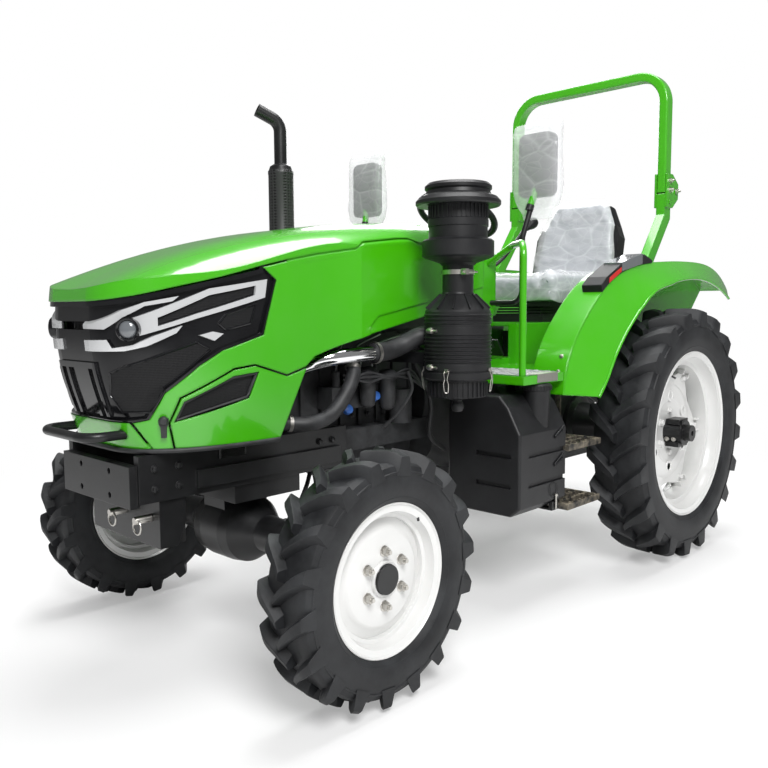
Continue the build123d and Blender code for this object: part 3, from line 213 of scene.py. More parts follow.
def noise_node(tree, scale, detail=4.0, rough=0.55):
    """Noise over object coordinates; gives its value socket."""
    coords = tree.nodes.new("ShaderNodeTexCoord")
    texture = tree.nodes.new("ShaderNodeTexNoise")
    preset(texture, Detail=detail, Roughness=rough)
    tree.links.new(coords.outputs["Object"], texture.inputs["Vector"])
    if isinstance(scale, (int, float)):
        texture.inputs["Scale"].default_value = scale
    else:
        tree.links.new(scale, texture.inputs["Scale"])
    return texture.outputs["Fac"]


def mix_colour(tree, factor, first, second):
    """Colour mix; gives its result socket."""
    node = tree.nodes.new("ShaderNodeMix")
    node.data_type = "RGBA"
    for socket, value in ((node.inputs[0], factor), (node.inputs[6], first), (node.inputs[7], second)):
        if isinstance(value, (int, float)):
            socket.default_value = value
        elif isinstance(value, (tuple, list)):
            socket.default_value = (*value[:3], 1.0)
        else:
            tree.links.new(value, socket)
    return node.outputs[2]


def dust_group():
    """Dust that settles on faces that look up, broken by noise, with a slow change of tone."""
    group, enter, leave = new_group("Dusty Surface", (
        ("Color", "NodeSocketColor", (0.5, 0.5, 0.5, 1)),
        ("Dust Color", "NodeSocketColor", (0.3, 0.3, 0.3, 1)), ("Dust", "NodeSocketFloat", 0.2),
        ("Scale", "NodeSocketFloat", 9.0), ("Roughness", "NodeSocketFloat", 0.4),
        ("Tone", "NodeSocketFloat", 0.15)),
        (("Color", "NodeSocketColor"), ("Roughness", "NodeSocketFloat")))
    patches = noise_node(group, enter.outputs["Scale"], 6.0, 0.62)
    normal = group.nodes.new("ShaderNodeNewGeometry")
    split = group.nodes.new("ShaderNodeSeparateXYZ")
    group.links.new(normal.outputs["Normal"], split.inputs[0])
    up = math_node(group, "MULTIPLY_ADD", split.outputs["Z"], 0.5)
    up.node.inputs[2].default_value = 0.5
    rise = math_node(group, "POWER", up, 1.6)
    spread = group.nodes.new("ShaderNodeMapRange")
    preset(spread, From_Min=0.38, From_Max=0.72)
    group.links.new(patches, spread.inputs["Value"])
    cover = math_node(group, "MULTIPLY", rise, spread.outputs["Result"])
    base = math_node(group, "MULTIPLY_ADD", spread.outputs["Result"], 0.3)
    group.links.new(cover, base.node.inputs[2])
    mask = math_node(group, "MULTIPLY", base, enter.outputs["Dust"])
    mask.node.use_clamp = True
    slow = noise_node(group, 2.3, 2.0)
    tone = math_node(group, "MULTIPLY", slow, enter.outputs["Tone"])
    shaded = mix_colour(group, tone, enter.outputs["Color"], (0.0, 0.0, 0.0))
    colour = mix_colour(group, mask, shaded, enter.outputs["Dust Color"])
    group.links.new(colour, leave.inputs["Color"])
    dull = math_node(group, "MULTIPLY_ADD", mask, 0.45)
    group.links.new(enter.outputs["Roughness"], dull.node.inputs[2])
    group.links.new(dull, leave.inputs["Roughness"])
    return group


def grain_group():
    """Height of a fine moulded or cast grain."""
    group, enter, leave = new_group("Fine Grain", (
        ("Scale", "NodeSocketFloat", 400.0), ("Coarse", "NodeSocketFloat", 30.0),
        ("Blend", "NodeSocketFloat", 0.3)), (("Height", "NodeSocketFloat"),))
    fine = noise_node(group, enter.outputs["Scale"], 2.0)
    coarse = noise_node(group, enter.outputs["Coarse"], 3.0)
    swell = math_node(group, "MULTIPLY", coarse, enter.outputs["Blend"])
    total = math_node(group, "ADD", fine, swell)
    group.links.new(total, leave.inputs["Height"])
    return group


def screen_group():
    """Mask of a punched screen: one on the wire, nought in the holes."""
    group, enter, leave = new_group("Punched Screen", (
        ("Pitch", "NodeSocketFloat", 0.012), ("Open", "NodeSocketFloat", 0.3)),
        (("Wire", "NodeSocketFloat"),))
    coords = group.nodes.new("ShaderNodeTexCoord")
    split = group.nodes.new("ShaderNodeSeparateXYZ")
    group.links.new(coords.outputs["Object"], split.inputs[0])
    side = math_node(group, "ABSOLUTE", split.outputs["Y"])
    along = math_node(group, "SUBTRACT", split.outputs["X"], side)
    turn = math_node(group, "DIVIDE", 2 * math.pi, enter.outputs["Pitch"])
    first = math_node(group, "SINE", math_node(
        group, "MULTIPLY", math_node(group, "ADD", along, split.outputs["Z"]), turn))
    second = math_node(group, "SINE", math_node(
        group, "MULTIPLY", math_node(group, "SUBTRACT", along, split.outputs["Z"]), turn))
    wave = math_node(group, "MULTIPLY", first, second)
    sharp = group.nodes.new("ShaderNodeMapRange")
    group.links.new(wave, sharp.inputs["Value"])
    preset(sharp, From_Min=0.10, To_Min=1.0, To_Max=0.0)
    group.links.new(enter.outputs["Open"], sharp.inputs["From Max"])
    group.links.new(sharp.outputs["Result"], leave.inputs["Wire"])
    return group


def crease_group():
    """Thin lines of creased film, and the height of its folds."""
    group, enter, leave = new_group("Film Creases", (
        ("Scale", "NodeSocketFloat", 9.0), ("Thin", "NodeSocketFloat", 14.0)),
        (("Crease", "NodeSocketFloat"), ("Height", "NodeSocketFloat")))
    coords = group.nodes.new("ShaderNodeTexCoord")
    drawn = group.nodes.new("ShaderNodeMapping")
    preset(drawn, Rotation=(0.5, 0.9, 0.3), Scale=(1.0, 0.42, 0.75))
    group.links.new(coords.outputs["Object"], drawn.inputs["Vector"])
    lines = []
    for step in (1.0, 2.6):
        cells = group.nodes.new("ShaderNodeTexVoronoi")
        cells.feature = "DISTANCE_TO_EDGE"
        group.links.new(drawn.outputs["Vector"], cells.inputs["Vector"])
        group.links.new(math_node(group, "MULTIPLY", enter.outputs["Scale"], step), cells.inputs["Scale"])
        near = math_node(group, "SUBTRACT", 1.0, math_node(
            group, "MULTIPLY", cells.outputs["Distance"], enter.outputs["Thin"]))
        near.node.use_clamp = True
        lines.append((math_node(group, "POWER", near, 2.0), cells.outputs["Distance"]))
    crease = math_node(group, "MULTIPLY_ADD", lines[1][0], 0.5)
    group.links.new(lines[0][0], crease.node.inputs[2])
    total = math_node(group, "MULTIPLY_ADD", lines[1][1], 0.4)
    group.links.new(lines[0][1], total.node.inputs[2])
    group.links.new(crease, leave.inputs["Crease"])
    group.links.new(total, leave.inputs["Height"])
    return group


def start_material(name, **constants):
    """New node material with its Principled BSDF's constant sockets set."""
    material = bpy.data.materials.new(name)
    material.use_nodes = True
    shader = material.node_tree.nodes["Principled BSDF"]
    preset(shader, **constants)
    return material, material.node_tree, shader


def place_group(tree, group, **values):
    """A shader group placed in a material with its own values."""
    node = tree.nodes.new("ShaderNodeGroup")
    node.node_tree = group
    preset(node, **values)
    return node


def soften_edges(tree, shader, radius):
    """Edges of a painted panel shaded as if rounded."""
    edge = tree.nodes.new("ShaderNodeBevel")
    edge.samples = 4
    preset(edge, Radius=radius)
    bump = shader.inputs["Normal"].links[0].from_node if shader.inputs["Normal"].links else shader
    tree.links.new(edge.outputs["Normal"], bump.inputs["Normal"])


def darken_below(tree, shader, level, colour):
    """Another base colour on all that lies below a height."""
    coords = tree.nodes.new("ShaderNodeTexCoord")
    split = tree.nodes.new("ShaderNodeSeparateXYZ")
    tree.links.new(coords.outputs["Object"], split.inputs[0])
    low = math_node(tree, "LESS_THAN", split.outputs["Z"], level)
    base = shader.inputs["Base Color"].links[0].from_socket
    tree.links.new(mix_colour(tree, low, base, colour), shader.inputs["Base Color"])


def add_bump(tree, shader, height, strength, distance):
    """Bump from a height socket into a shader's normal."""
    bump = tree.nodes.new("ShaderNodeBump")
    preset(bump, Strength=strength, Distance=distance)
    tree.links.new(height, bump.inputs["Height"])
    tree.links.new(bump.outputs["Normal"], shader.inputs["Normal"])


def dusty_material(
        name, colour, dust_colour, dust, scale, roughness, tone=0.15, grain=None, bump=0.1, distance=0.001,
        **constants):
    """Principled material with the dust group and an optional grain."""
    material, tree, shader = start_material(name, **constants)
    surface = place_group(
        tree, GROUPS["dust"], Color=colour, Dust_Color=dust_colour, Dust=dust, Scale=scale,
        Roughness=roughness, Tone=tone)
    tree.links.new(surface.outputs["Color"], shader.inputs["Base Color"])
    tree.links.new(surface.outputs["Roughness"], shader.inputs["Roughness"])
    if grain:
        fine, coarse, blend = grain
        relief = place_group(tree, GROUPS["grain"], Scale=fine, Coarse=coarse, Blend=blend)
        add_bump(tree, shader, relief.outputs["Height"], bump, distance)
    return material


GROUPS = {}
FINISH = {}


def make_finishes(paint):
    """All finishes of the tractor, kept by name."""
    GROUPS["dust"] = dust_group()
    GROUPS["grain"] = grain_group()
    GROUPS["screen"] = screen_group()
    GROUPS["crease"] = crease_group()
    dust = paint.dust[:]
    for finish, title in (("green", "Green gloss paint"), ("green_lower", "Green lower paint")):
        FINISH[finish] = dusty_material(
            title, paint.green[:], GREEN_DUST, 0.05, 6.0, 0.22, 0.10, PAINT_GRAIN, 0.02, 0.0006,
            Coat_Weight=0.7, Coat_Roughness=0.05)
    lower = FINISH["green_lower"].node_tree
    darken_below(lower, lower.nodes["Principled BSDF"], SKIRT_FOOT, (0.008, 0.008, 0.008))
    FINISH["black"] = dusty_material(
        "Black frame paint", paint.black[:], dust, 0.06, 14.0, 0.36, 0.1, (500.0, 60.0, 1.2), 0.08, 0.0008,
        Coat_Weight=0.1, Coat_Roughness=0.2, Specular_IOR_Level=0.35)
    for finish, radius in (("green", 0.010), ("green_lower", 0.010), ("black", 0.003)):
        tree = FINISH[finish].node_tree
        soften_edges(tree, tree.nodes["Principled BSDF"], radius)
    FINISH["white"] = dusty_material(
        "White rim paint", paint.white[:], (0.55, 0.54, 0.5), 0.12, 7.0, 0.28, 0.05, (700.0, 40.0, 2.0),
        0.03, 0.0006, Coat_Weight=0.45, Coat_Roughness=0.08)
    # Lug tops: a lighter rubber that is a painted highlight, with heavier dust on it
    FINISH["lug"] = dusty_material(
        "Lug rubber with dust and painted highlight", (0.036, 0.0365, 0.038), dust, 0.50, 15.0, 0.66, 0.3, RUBBER_GRAIN, 0.2, 0.001,
        Specular_IOR_Level=0.3)
    FINISH["rubber"] = dusty_material(
        "Tyre rubber", paint.rubber[:], dust, 0.15, 11.0, 0.56, 0.2, RUBBER_GRAIN, 0.16, 0.001,
        Specular_IOR_Level=0.35)
    FINISH["cast"] = dusty_material(
        "Cast iron paint", (0.02, 0.02, 0.021), dust, 0.28, 12.0, 0.5, 0.2, CAST_GRAIN, 0.3, 0.0015,
        Specular_IOR_Level=0.35)
    FINISH["worn"] = dusty_material(
        "Worn step paint", (0.02, 0.02, 0.02), (0.36, 0.31, 0.23), 0.9, 38.0, 0.5, 0.2, CAST_GRAIN, 0.3,
        0.0015)
    FINISH["plastic"] = dusty_material(
        "Moulded plastic", paint.plastic[:], dust, 0.06, 10.0, 0.42, 0.1, (900.0, 90.0, 0.5), 0.1, 0.0006,
        Specular_IOR_Level=0.35)
    FINISH["gloss"] = dusty_material(
        "Gloss black", (0.006, 0.006, 0.007), dust, 0.05, 8.0, 0.12, 0.1, None, Coat_Weight=0.25,
        Coat_Roughness=0.04, Specular_IOR_Level=0.25)
    FINISH["vinyl"] = dusty_material(
        "Seat vinyl", paint.vinyl[:], (0.35, 0.36, 0.38), 0.10, 8.0, 0.42, 0.15, (520.0, 60.0, 0.6), 0.18,
        0.0008)
    FINISH["chrome"] = dusty_material(
        "Chrome", (0.86, 0.87, 0.88), (0.6, 0.6, 0.6), 0.05, 8.0, 0.09, 0.05, None, Metallic=1.0)
    FINISH["silver"] = dusty_material(
        "Silver trim", (0.80, 0.81, 0.82), (0.5, 0.5, 0.5), 0.05, 8.0, 0.16, 0.1, None, Metallic=0.45,
        Coat_Weight=0.8, Coat_Roughness=0.04)
    FINISH["zinc"] = dusty_material(
        "Zinc plate", (0.62, 0.60, 0.56), (0.4, 0.38, 0.34), 0.3, 60.0, 0.33, 0.25, (700.0, 90.0, 0.6),
        0.12, 0.0006, Metallic=1.0)
    FINISH["satin_steel"] = dusty_material(
        "Bare steel", (0.42, 0.42, 0.43), dust, 0.2, 30.0, 0.35, 0.2, (600.0, 80.0, 0.5), 0.1, 0.0006,
        Metallic=1.0)
    FINISH["hose"] = dusty_material(
        "Hose rubber", (0.012, 0.012, 0.013), dust, 0.2, 16.0, 0.5, 0.15, (800.0, 60.0, 0.5), 0.12, 0.0008)
    FINISH["blue"] = dusty_material("Blue cap", (0.03, 0.12, 0.42), dust, 0.08, 20.0, 0.4, 0.1)
    FINISH["red"] = dusty_material("Red plastic", (0.55, 0.02, 0.015), dust, 0.06, 20.0, 0.35, 0.1)
    FINISH["lens_white"] = dusty_material(
        "Clear lens", (0.13, 0.14, 0.15), dust, 0.03, 20.0, 0.05, 0.05, None, Coat_Weight=1.0,
        Coat_Roughness=0.02)
    FINISH["mirror"] = dusty_material(
        "Mirror glass", (0.78, 0.80, 0.82), dust, 0.03, 12.0, 0.04, 0.02, None, Metallic=1.0)
    film, tree, shader = start_material(
        "Clear film", Base_Color=(0.93, 0.94, 0.96), Roughness=0.10, Specular_IOR_Level=0.5)
    folds = place_group(tree, GROUPS["crease"], Scale=13.0, Thin=14.0)
    haze = tree.nodes.new("ShaderNodeMapRange")
    preset(haze, To_Min=0.34, To_Max=0.43)
    tree.links.new(folds.outputs["Crease"], haze.inputs["Value"])
    tree.links.new(haze.outputs["Result"], shader.inputs["Alpha"])
    add_bump(tree, shader, folds.outputs["Height"], 0.5, 0.012)
    FINISH["film"] = film
    # Screens: the holes are painted near-black, painted shade seen through them; the wire has its own dark
    # colour
    for finish, title, gloss, pitch, share, hole_shade, wire_tone, bump, distance in (
            ("screen", "Grille screen", 0.2, 0.0095, 0.35, 0.001, (0.014, 0.014, 0.015), 0.5, 0.001),
            ("pierced", "Pierced sleeve", 0.5, 0.024, 0.40, 0.0, (0.03, 0.03, 0.031), 0.7, 0.002)):
        FINISH[finish], tree, shader = start_material(title, Roughness=0.4, Specular_IOR_Level=gloss)
        wire = place_group(tree, GROUPS["screen"], Pitch=pitch, Open=share)
        shade = mix_colour(tree, wire.outputs["Wire"], (hole_shade, hole_shade, hole_shade), wire_tone)
        tree.links.new(shade, shader.inputs["Base Color"])
        add_bump(tree, shader, wire.outputs["Wire"], bump, distance)


# Mesh tools
def finish_mesh(obj, finish, body="chassis", angle=38.0):
    """Smooth shading with sharp edges by angle, a finish and a body to ride on."""
    mesh = obj.data
    mesh.materials.clear()
    mesh.materials.append(FINISH[finish])
    mesh.polygons.foreach_set("use_smooth", [True] * len(mesh.polygons))
    mesh.set_sharp_from_angle(angle=math.radians(angle))
    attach(obj, body)
    return obj


def piece_from(bm, name, finish, body="chassis", angle=38.0, bevel=0.0, segments=2):
    """Object from a finished bmesh."""
    bmesh.ops.recalc_face_normals(bm, faces=bm.faces)
    mesh = bpy.data.meshes.new(name)
    bm.to_mesh(mesh)
    bm.free()
    obj = bpy.data.objects.new(name, mesh)
    bpy.context.scene.collection.objects.link(obj)
    if bevel:
        edges = obj.modifiers.new("Rounded edges", "BEVEL")
        edges.width = bevel
        edges.segments = segments
        edges.limit_method = "ANGLE"
        edges.angle_limit = math.radians(30)
        edges.harden_normals = True
    return finish_mesh(obj, finish, body, angle)


def polar(radius, turn, along=0.0):
    """Point on a circle about Z."""
    return Vector((radius * math.cos(turn), radius * math.sin(turn), along))


def bridge(bm, low, high):
    """Faces between two closed rings of points."""
    for step in range(len(low)):
        after = (step + 1) % len(low)
        bm.faces.new((low[step], low[after], high[after], high[step]))


def add_lathe(bm, profile, place, segments=64, closed=True):
    """Ring of faces from (radius, along) points, turned about the local Z of place."""
    rings = []
    for radius, along in profile:
        ring = []
        for step in range(segments):
            turn = 2 * math.pi * step / segments
            ring.append(bm.verts.new(place @ polar(radius, turn, along)))
        rings.append(ring)
    pairs = list(zip(rings, rings[1:]))
    if closed:
        pairs.append((rings[-1], rings[0]))
    for low, high in pairs:
        bridge(bm, low, high)
    return rings


def add_capped_lathe(bm, profile, place, segments=48):
    """Turned solid whose first and last rings are closed by faces."""
    rings = add_lathe(bm, profile, place, segments, closed=False)
    bm.faces.new(list(reversed(rings[0])))
    bm.faces.new(rings[-1])


def add_block(bm, low, high):
    """Block between two corners."""
    size = Vector(high) - Vector(low)
    centre = (Vector(high) + Vector(low)) / 2
    add_box(bm, Matrix.Translation(centre), size)


def add_box(bm, place, size):
    """Box of a size about the origin of place."""
    bmesh.ops.create_cube(bm, size=1.0, matrix=place @ Matrix.Diagonal((*size, 1.0)))


def add_ribs(bm, place, count, spot, size):
    """Boxes in a ring about the local Z of place, the first one at spot."""
    for step in range(count):
        turn = Matrix.Rotation(2 * math.pi * step / count, 4, "Z")
        add_box(bm, place @ turn @ Matrix.Translation(spot), size)


def add_outline(bm, points, low, high, across="Y"):
    """Flat outline carried between two values of the axis across."""
    def corner(point, value):
        first, second = point
        if across == "Y":
            return Vector((first, value, second))
        if across == "X":
            return Vector((value, first, second))
        return Vector((first, second, value))
    near = [bm.verts.new(corner(point, low)) for point in points]
    far = [bm.verts.new(corner(point, high)) for point in points]
    bm.faces.new(near)
    bm.faces.new(list(reversed(far)))
    for step in range(len(points)):
        after = (step + 1) % len(points)
        bm.faces.new((near[step], far[step], far[after], near[after]))


def facing(origin, direction, spin=0.0):
    """Matrix at origin whose local Z points along direction."""
    turn = Vector(direction).to_track_quat("Z", "Y").to_matrix().to_4x4()
    return Matrix.Translation(Vector(origin)) @ turn @ Matrix.Rotation(spin, 4, "Z")


def add_hex_bolt(bm, origin, direction, size, height=None):
    """Hexagon head with a chamfer and a washer, standing on origin."""
    place = facing(origin, direction, 0.3)
    height = height or size * 0.62
    lift = size * 0.2
    add_capped_lathe(bm, ((size, 0.0), (size, size * 0.16), (size * 0.94, lift)), place, 24)
    add_capped_lathe(bm, (
        (size * 0.82, lift), (size * 0.82, lift + height * 0.86), (size * 0.68, lift + height)), place, 6)


def add_tube(bm, points, radius, segments=16, steps=10, cyclic=False):
    """Round tube along a smooth curve through the points."""
    curve = smooth_path(points, steps, cyclic)
    rings = []
    side = None
    for number, point in enumerate(curve):
        before = curve[number - 1] if number or cyclic else point
        after = curve[(number + 1) % len(curve)] if number + 1 < len(curve) or cyclic else point
        along = (after - before).normalized()
        if side is None:
            side = along.orthogonal().normalized()
        side = (side - along * side.dot(along)).normalized()
        other = along.cross(side)
        ring = [bm.verts.new(point + (side * math.cos(t) + other * math.sin(t)) * radius)
                for t in (2 * math.pi * step / segments for step in range(segments))]
        rings.append(ring)
    pairs = list(zip(rings, rings[1:]))
    if cyclic:
        pairs.append((rings[-1], rings[0]))
    for low, high in pairs:
        bridge(bm, low, high)
    if not cyclic:
        bm.faces.new(list(reversed(rings[0])))
        bm.faces.new(rings[-1])


def smooth_path(points, steps, cyclic=False):
    """Catmull-Rom points through the given ones."""
    spots = [Vector(point) for point in points]
    if len(spots) < 3:
        return [spots[0].lerp(spots[-1], step / steps) for step in range(steps + 1)]
    path = []
    count = len(spots)
    runs = count if cyclic else count - 1
    for run in range(runs):
        first = spots[run]
        second = spots[(run + 1) % count]
        before = spots[run - 1] if run or cyclic else first + (first - second)
        after = spots[(run + 2) % count] if run + 2 < count or cyclic else second + (second - first)
        for step in range(steps):
            t = step / steps
            path.append(0.5 * (2 * first + (second - before) * t
                               + (2 * before - 5 * first + 4 * second - after) * t * t
                               + (3 * first - before - 3 * second + after) * t ** 3))
    if not cyclic:
        path.append(spots[-1])
    return path


def rounded_box(width, height, radius, middle=(0.0, 0.0), steps=6):
    """Outline of a box with round corners about its middle."""
    points = []
    for x, y, start in ((1, 1, 0.0), (-1, 1, 0.5), (-1, -1, 1.0), (1, -1, 1.5)):
        for step in range(steps + 1):
            turn = math.pi * (start + 0.5 * step / steps)
            points.append((middle[0] + (x * (width / 2 - radius) + radius * math.cos(turn)),
                           middle[1] + (y * (height / 2 - radius) + radius * math.sin(turn))))
    return points


# Tyres
def add_carcass(bm, radius, width, rim, rim_width, lug, place):
    """Turned casing: bead, sidewall with moulded rings, shoulder and tread floor."""
    base = radius - lug
    rise = base - rim
    half = width / 2
    sidewall = (
        (rim - 0.021, rim_width / 2 - 0.012), (rim - 0.004, rim_width / 2 - 0.008),
        (rim + 0.004, rim_width / 2 + 0.001), (rim + 0.10 * rise, half * 0.86),
        (rim + 0.14 * rise, half * 0.90), (rim + 0.15 * rise, half * 0.895),
        (rim + 0.30 * rise, half * 0.965), (rim + 0.45 * rise, half * 0.985),
        (rim + 0.60 * rise, half * 0.975), (rim + 0.72 * rise, half * 0.955),
        (rim + 0.735 * rise, half * 0.975), (rim + 0.765 * rise, half * 0.972),
        (rim + 0.78 * rise, half * 0.935), (rim + 0.90 * rise, half * 0.86),
        (rim + 0.97 * rise, half * 0.70), (base - 0.004, half * 0.45), (base, 0.0))
    profile = list(sidewall) + [(r, -a) for r, a in reversed(sidewall[:-1])]
    add_lathe(bm, profile, place, 144)


def add_lug_row(bm, radius, width, lug, count, mirror, shift, rim, place):
    """One row of bar lugs that curve from the crown to the shoulder, with drafted flanks."""
    base = radius - lug
    half = width / 2
    pitch = 2 * math.pi / count
    for number in range(count):
        turn = pitch * number + shift
        rings = []
        for step in range(LUG_STATIONS):
            t = step / (LUG_STATIONS - 1)
            across = -0.05 * half + t * 1.03 * half
            drop = max(0.0, (across / half - 0.55) / 0.45)
            top = radius - 0.016 * drop ** 2
            floor = base - 0.012 - 0.03 * drop ** 1.5
            sweep = pitch * (0.30 - 0.62 * t ** 0.82)
            wide = (0.0175 + 0.0105 * t) * radius / 0.576 * 1.05
            lean = 0.30 * (top - floor)
            profile = (
                (-wide - lean, floor), (-wide, top - 0.004), (-wide + 0.004, top), (wide - 0.004, top),
                (wide, top - 0.004), (wide + lean, floor))
            ring = []
            for offset, r in profile:
                angle = turn + sweep + offset / radius
                spot = Vector((r * math.sin(angle), across * mirror, r * math.cos(angle)))
                ring.append(bm.verts.new(place @ spot))
            rings.append(ring)
        end = []
        low = rim + 0.70 * (base - rim)
        for offset, r in profile:
            angle = turn + sweep + offset * 1.02 / radius
            depth = min(r, low) if r < top - 0.006 else r - 0.006
            spot = Vector((depth * math.sin(angle), half * 0.985 * mirror, depth * math.cos(angle)))
            end.append(bm.verts.new(place @ spot))
        rings.append(end)
        for low_ring, high_ring in zip(rings, rings[1:]):
            for step in range(5):
                face = bm.faces.new((
                    low_ring[step], low_ring[step + 1], high_ring[step + 1], high_ring[step]))
                # Lug tops with their chamfers, and the shoulder ends, take the lug rubber, painted lighter
                # as a highlight
                face.material_index = 1 if 0 < step < 4 else 0
        bm.faces.new(rings[0])
        bm.faces.new(list(reversed(rings[-1]))).material_index = 1


def make_tyre(name, node, body, centre, sign, radius, width, rim, rim_width, lug, count):
    """Tyre piece that stands for its solid."""
    bm = bmesh.new()
    place = Matrix.Translation(centre)
    axis = place @ Matrix.Rotation(-math.pi / 2, 4, "X")
    add_carcass(bm, radius, width, rim, rim_width, lug, axis)
    add_lug_row(bm, radius, width, lug, count, sign, 0.0, rim, place)
    add_lug_row(bm, radius, width, lug, count, -sign, math.pi / count, rim, place)
    obj = piece_from(bm, name, "rubber", body, angle=32.0)
    # Second material: lug rubber painted lighter as a highlight, with dust
    obj.data.materials.append(FINISH["lug"])
    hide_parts(node)


class TRACTOR_OT_tyres(bpy.types.Operator):
    """Make the four tyres with their lugs"""
    bl_idname = "tractor.tyres"
    bl_label = "Tyres"

    def execute(self, context):
        wheels = context.scene.tractor_wheels
        for side, sign in SIDES:
            front = joint_point("spin_front_" + side)
            make_tyre("Front_tyre_" + side, "front_tyre_" + side, "front_wheel_" + side, front, sign,
                      wheels.front_radius, wheels.front_width, wheels.front_rim, wheels.front_rim_width,
                      wheels.front_lug, wheels.front_lugs)
            rear = joint_point("spin_rear_" + side)
            make_tyre("Rear_tyre_" + side, "rear_tyre_" + side, "rear_wheel_" + side, rear, sign,
                      wheels.rear_radius, wheels.rear_width, wheels.rear_rim, wheels.rear_rim_width,
                      wheels.rear_lug, wheels.rear_lugs)
        return {"FINISHED"}


# Rims
def add_barrel(bm, radius, width, thick, well, place):
    """Rolled rim section turned about the axle: flange lips, bead seats and drop centre."""
    half = width / 2
    seat = radius - 0.025
    outer = (
        (-half - 0.001, radius - 0.004), (-half + 0.002, radius), (-half + 0.006, radius - 0.003),
        (-half + 0.008, seat + 0.003), (-half * 0.62, seat), (-half * 0.45, seat - well * 0.35),
        (-half * 0.42, seat - well), (half * 0.42, seat - well), (half * 0.45, seat - well * 0.35),
        (half * 0.62, seat), (half - 0.008, seat + 0.003), (half - 0.006, radius - 0.003),
        (half - 0.002, radius), (half + 0.001, radius - 0.004))
    inner = tuple((across, r - thick) for across, r in outer[2:-2])
    profile = [(r, across) for across, r in outer] + [(r, across) for across, r in reversed(inner)]
    add_lathe(bm, profile, place, 128)


def add_disc(bm, profile, reach, place, segments=192):
    """Wheel disc from (radius share, along) points; reach gives its outer radius at each angle."""
    rings = []
    for radius, along, follow in profile:
        ring = []
        for step in range(segments):
            turn = 2 * math.pi * step / segments
            r = radius + follow * (reach(turn) - reach(0.0))
            ring.append(bm.verts.new(place @ polar(r, turn, along)))
        rings.append(ring)
    rings.append(rings[0])
    for low, high in zip(rings, rings[1:]):
        bridge(bm, low, high)


def flats(radius, depth, count, half_angle):
    """Outer radius of a disc whose edge is cut in at count places."""
    def reach(turn):
        spread = 2 * math.pi / count
        off = abs((turn + spread / 2) % spread - spread / 2)
        return radius - depth * max(0.0, math.cos(min(off / half_angle, 1.0) * math.pi / 2)) ** 0.8
    return reach


def lobes(radius, depth, count):
    """Outer radius of a disc with rounded lobes."""
    def reach(turn):
        return radius - depth * (0.5 - 0.5 * math.cos(count * turn)) ** 0.7
    return reach


def make_front_rim(side, sign, wheels):
    """Front rim with a domed disc, crescent openings and wheel nuts."""
    centre = joint_point("spin_front_" + side)
    body = "front_wheel_" + side
    place = facing(centre, (0, sign, 0))
    bm = bmesh.new()
    add_barrel(bm, wheels.front_rim, wheels.front_rim_width, 0.006, 0.018, place)
    reach = flats(FRONT_DISC, 0.016, 4, math.radians(27))
    add_disc(bm, (
        (FRONT_DISC, 0.004, 1.0), (0.180, 0.012, 1.0), (0.166, 0.017, 0.6), (0.158, 0.020, 0.0),
        (0.150, 0.026, 0.0), (0.143, 0.032, 0.0), (0.137, 0.0345, 0.0), (0.112, 0.0355, 0.0),
        (0.100, 0.0385, 0.0), (0.060, 0.0390, 0.0), (0.052, 0.0375, 0.0), (0.050, 0.034, 0.0),
        (0.050, 0.026, 0.0), (0.134, 0.026, 0.0), (0.154, 0.012, 0.0), (0.170, 0.006, 0.8)), reach, place)
    obj = piece_from(bm, "Front_rim_" + side, "white", body, angle=30.0, bevel=0.0012)
    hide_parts("front_rim_" + side)
    bm = bmesh.new()
    for number in range(6):
        turn = math.pi / 6 + number * math.pi / 3
        spot = place @ polar(FRONT_NUT_CIRCLE, turn, FRONT_NUT_FACE)
        add_hex_bolt(bm, spot, (0, sign, 0), 0.0165, 0.016)
        add_capped_lathe(bm, ((0.007, 0.0), (0.007, 0.026), (0.006, 0.028)), facing(spot, (0, sign, 0)), 16)
    piece_from(bm, "Front_wheel_nuts_" + side, "zinc", body)
    bm = bmesh.new()
    add_capped_lathe(bm, (
        (0.046, 0.020), (0.046, 0.046), (0.044, 0.048), (0.041, 0.046), (0.039, 0.031), (0.018, 0.030)),
        place, 48)
    add_capped_lathe(bm, ((0.017, 0.029), (0.017, 0.037), (0.015, 0.039)), place, 6)
    piece_from(bm, "Front_hub_cup_" + side, "gloss", body)
    bm = bmesh.new()
    add_lathe(bm, (
        (0.0455, 0.030), (0.0540, 0.034), (0.0530, 0.045), (0.0500, 0.0485), (0.0455, 0.0475)), place, 64)
    piece_from(bm, "Front_hub_lip_" + side, "white", body)
    bm = bmesh.new()
    spot = place @ polar(0.214, 0.9, 0.050)
    add_tube(bm, (spot, spot + place.to_3x3() @ Vector((-0.012, -0.014, 0.016))), 0.0042, 12, 2)
    piece_from(bm, "Front_valve_" + side, "hose", body)


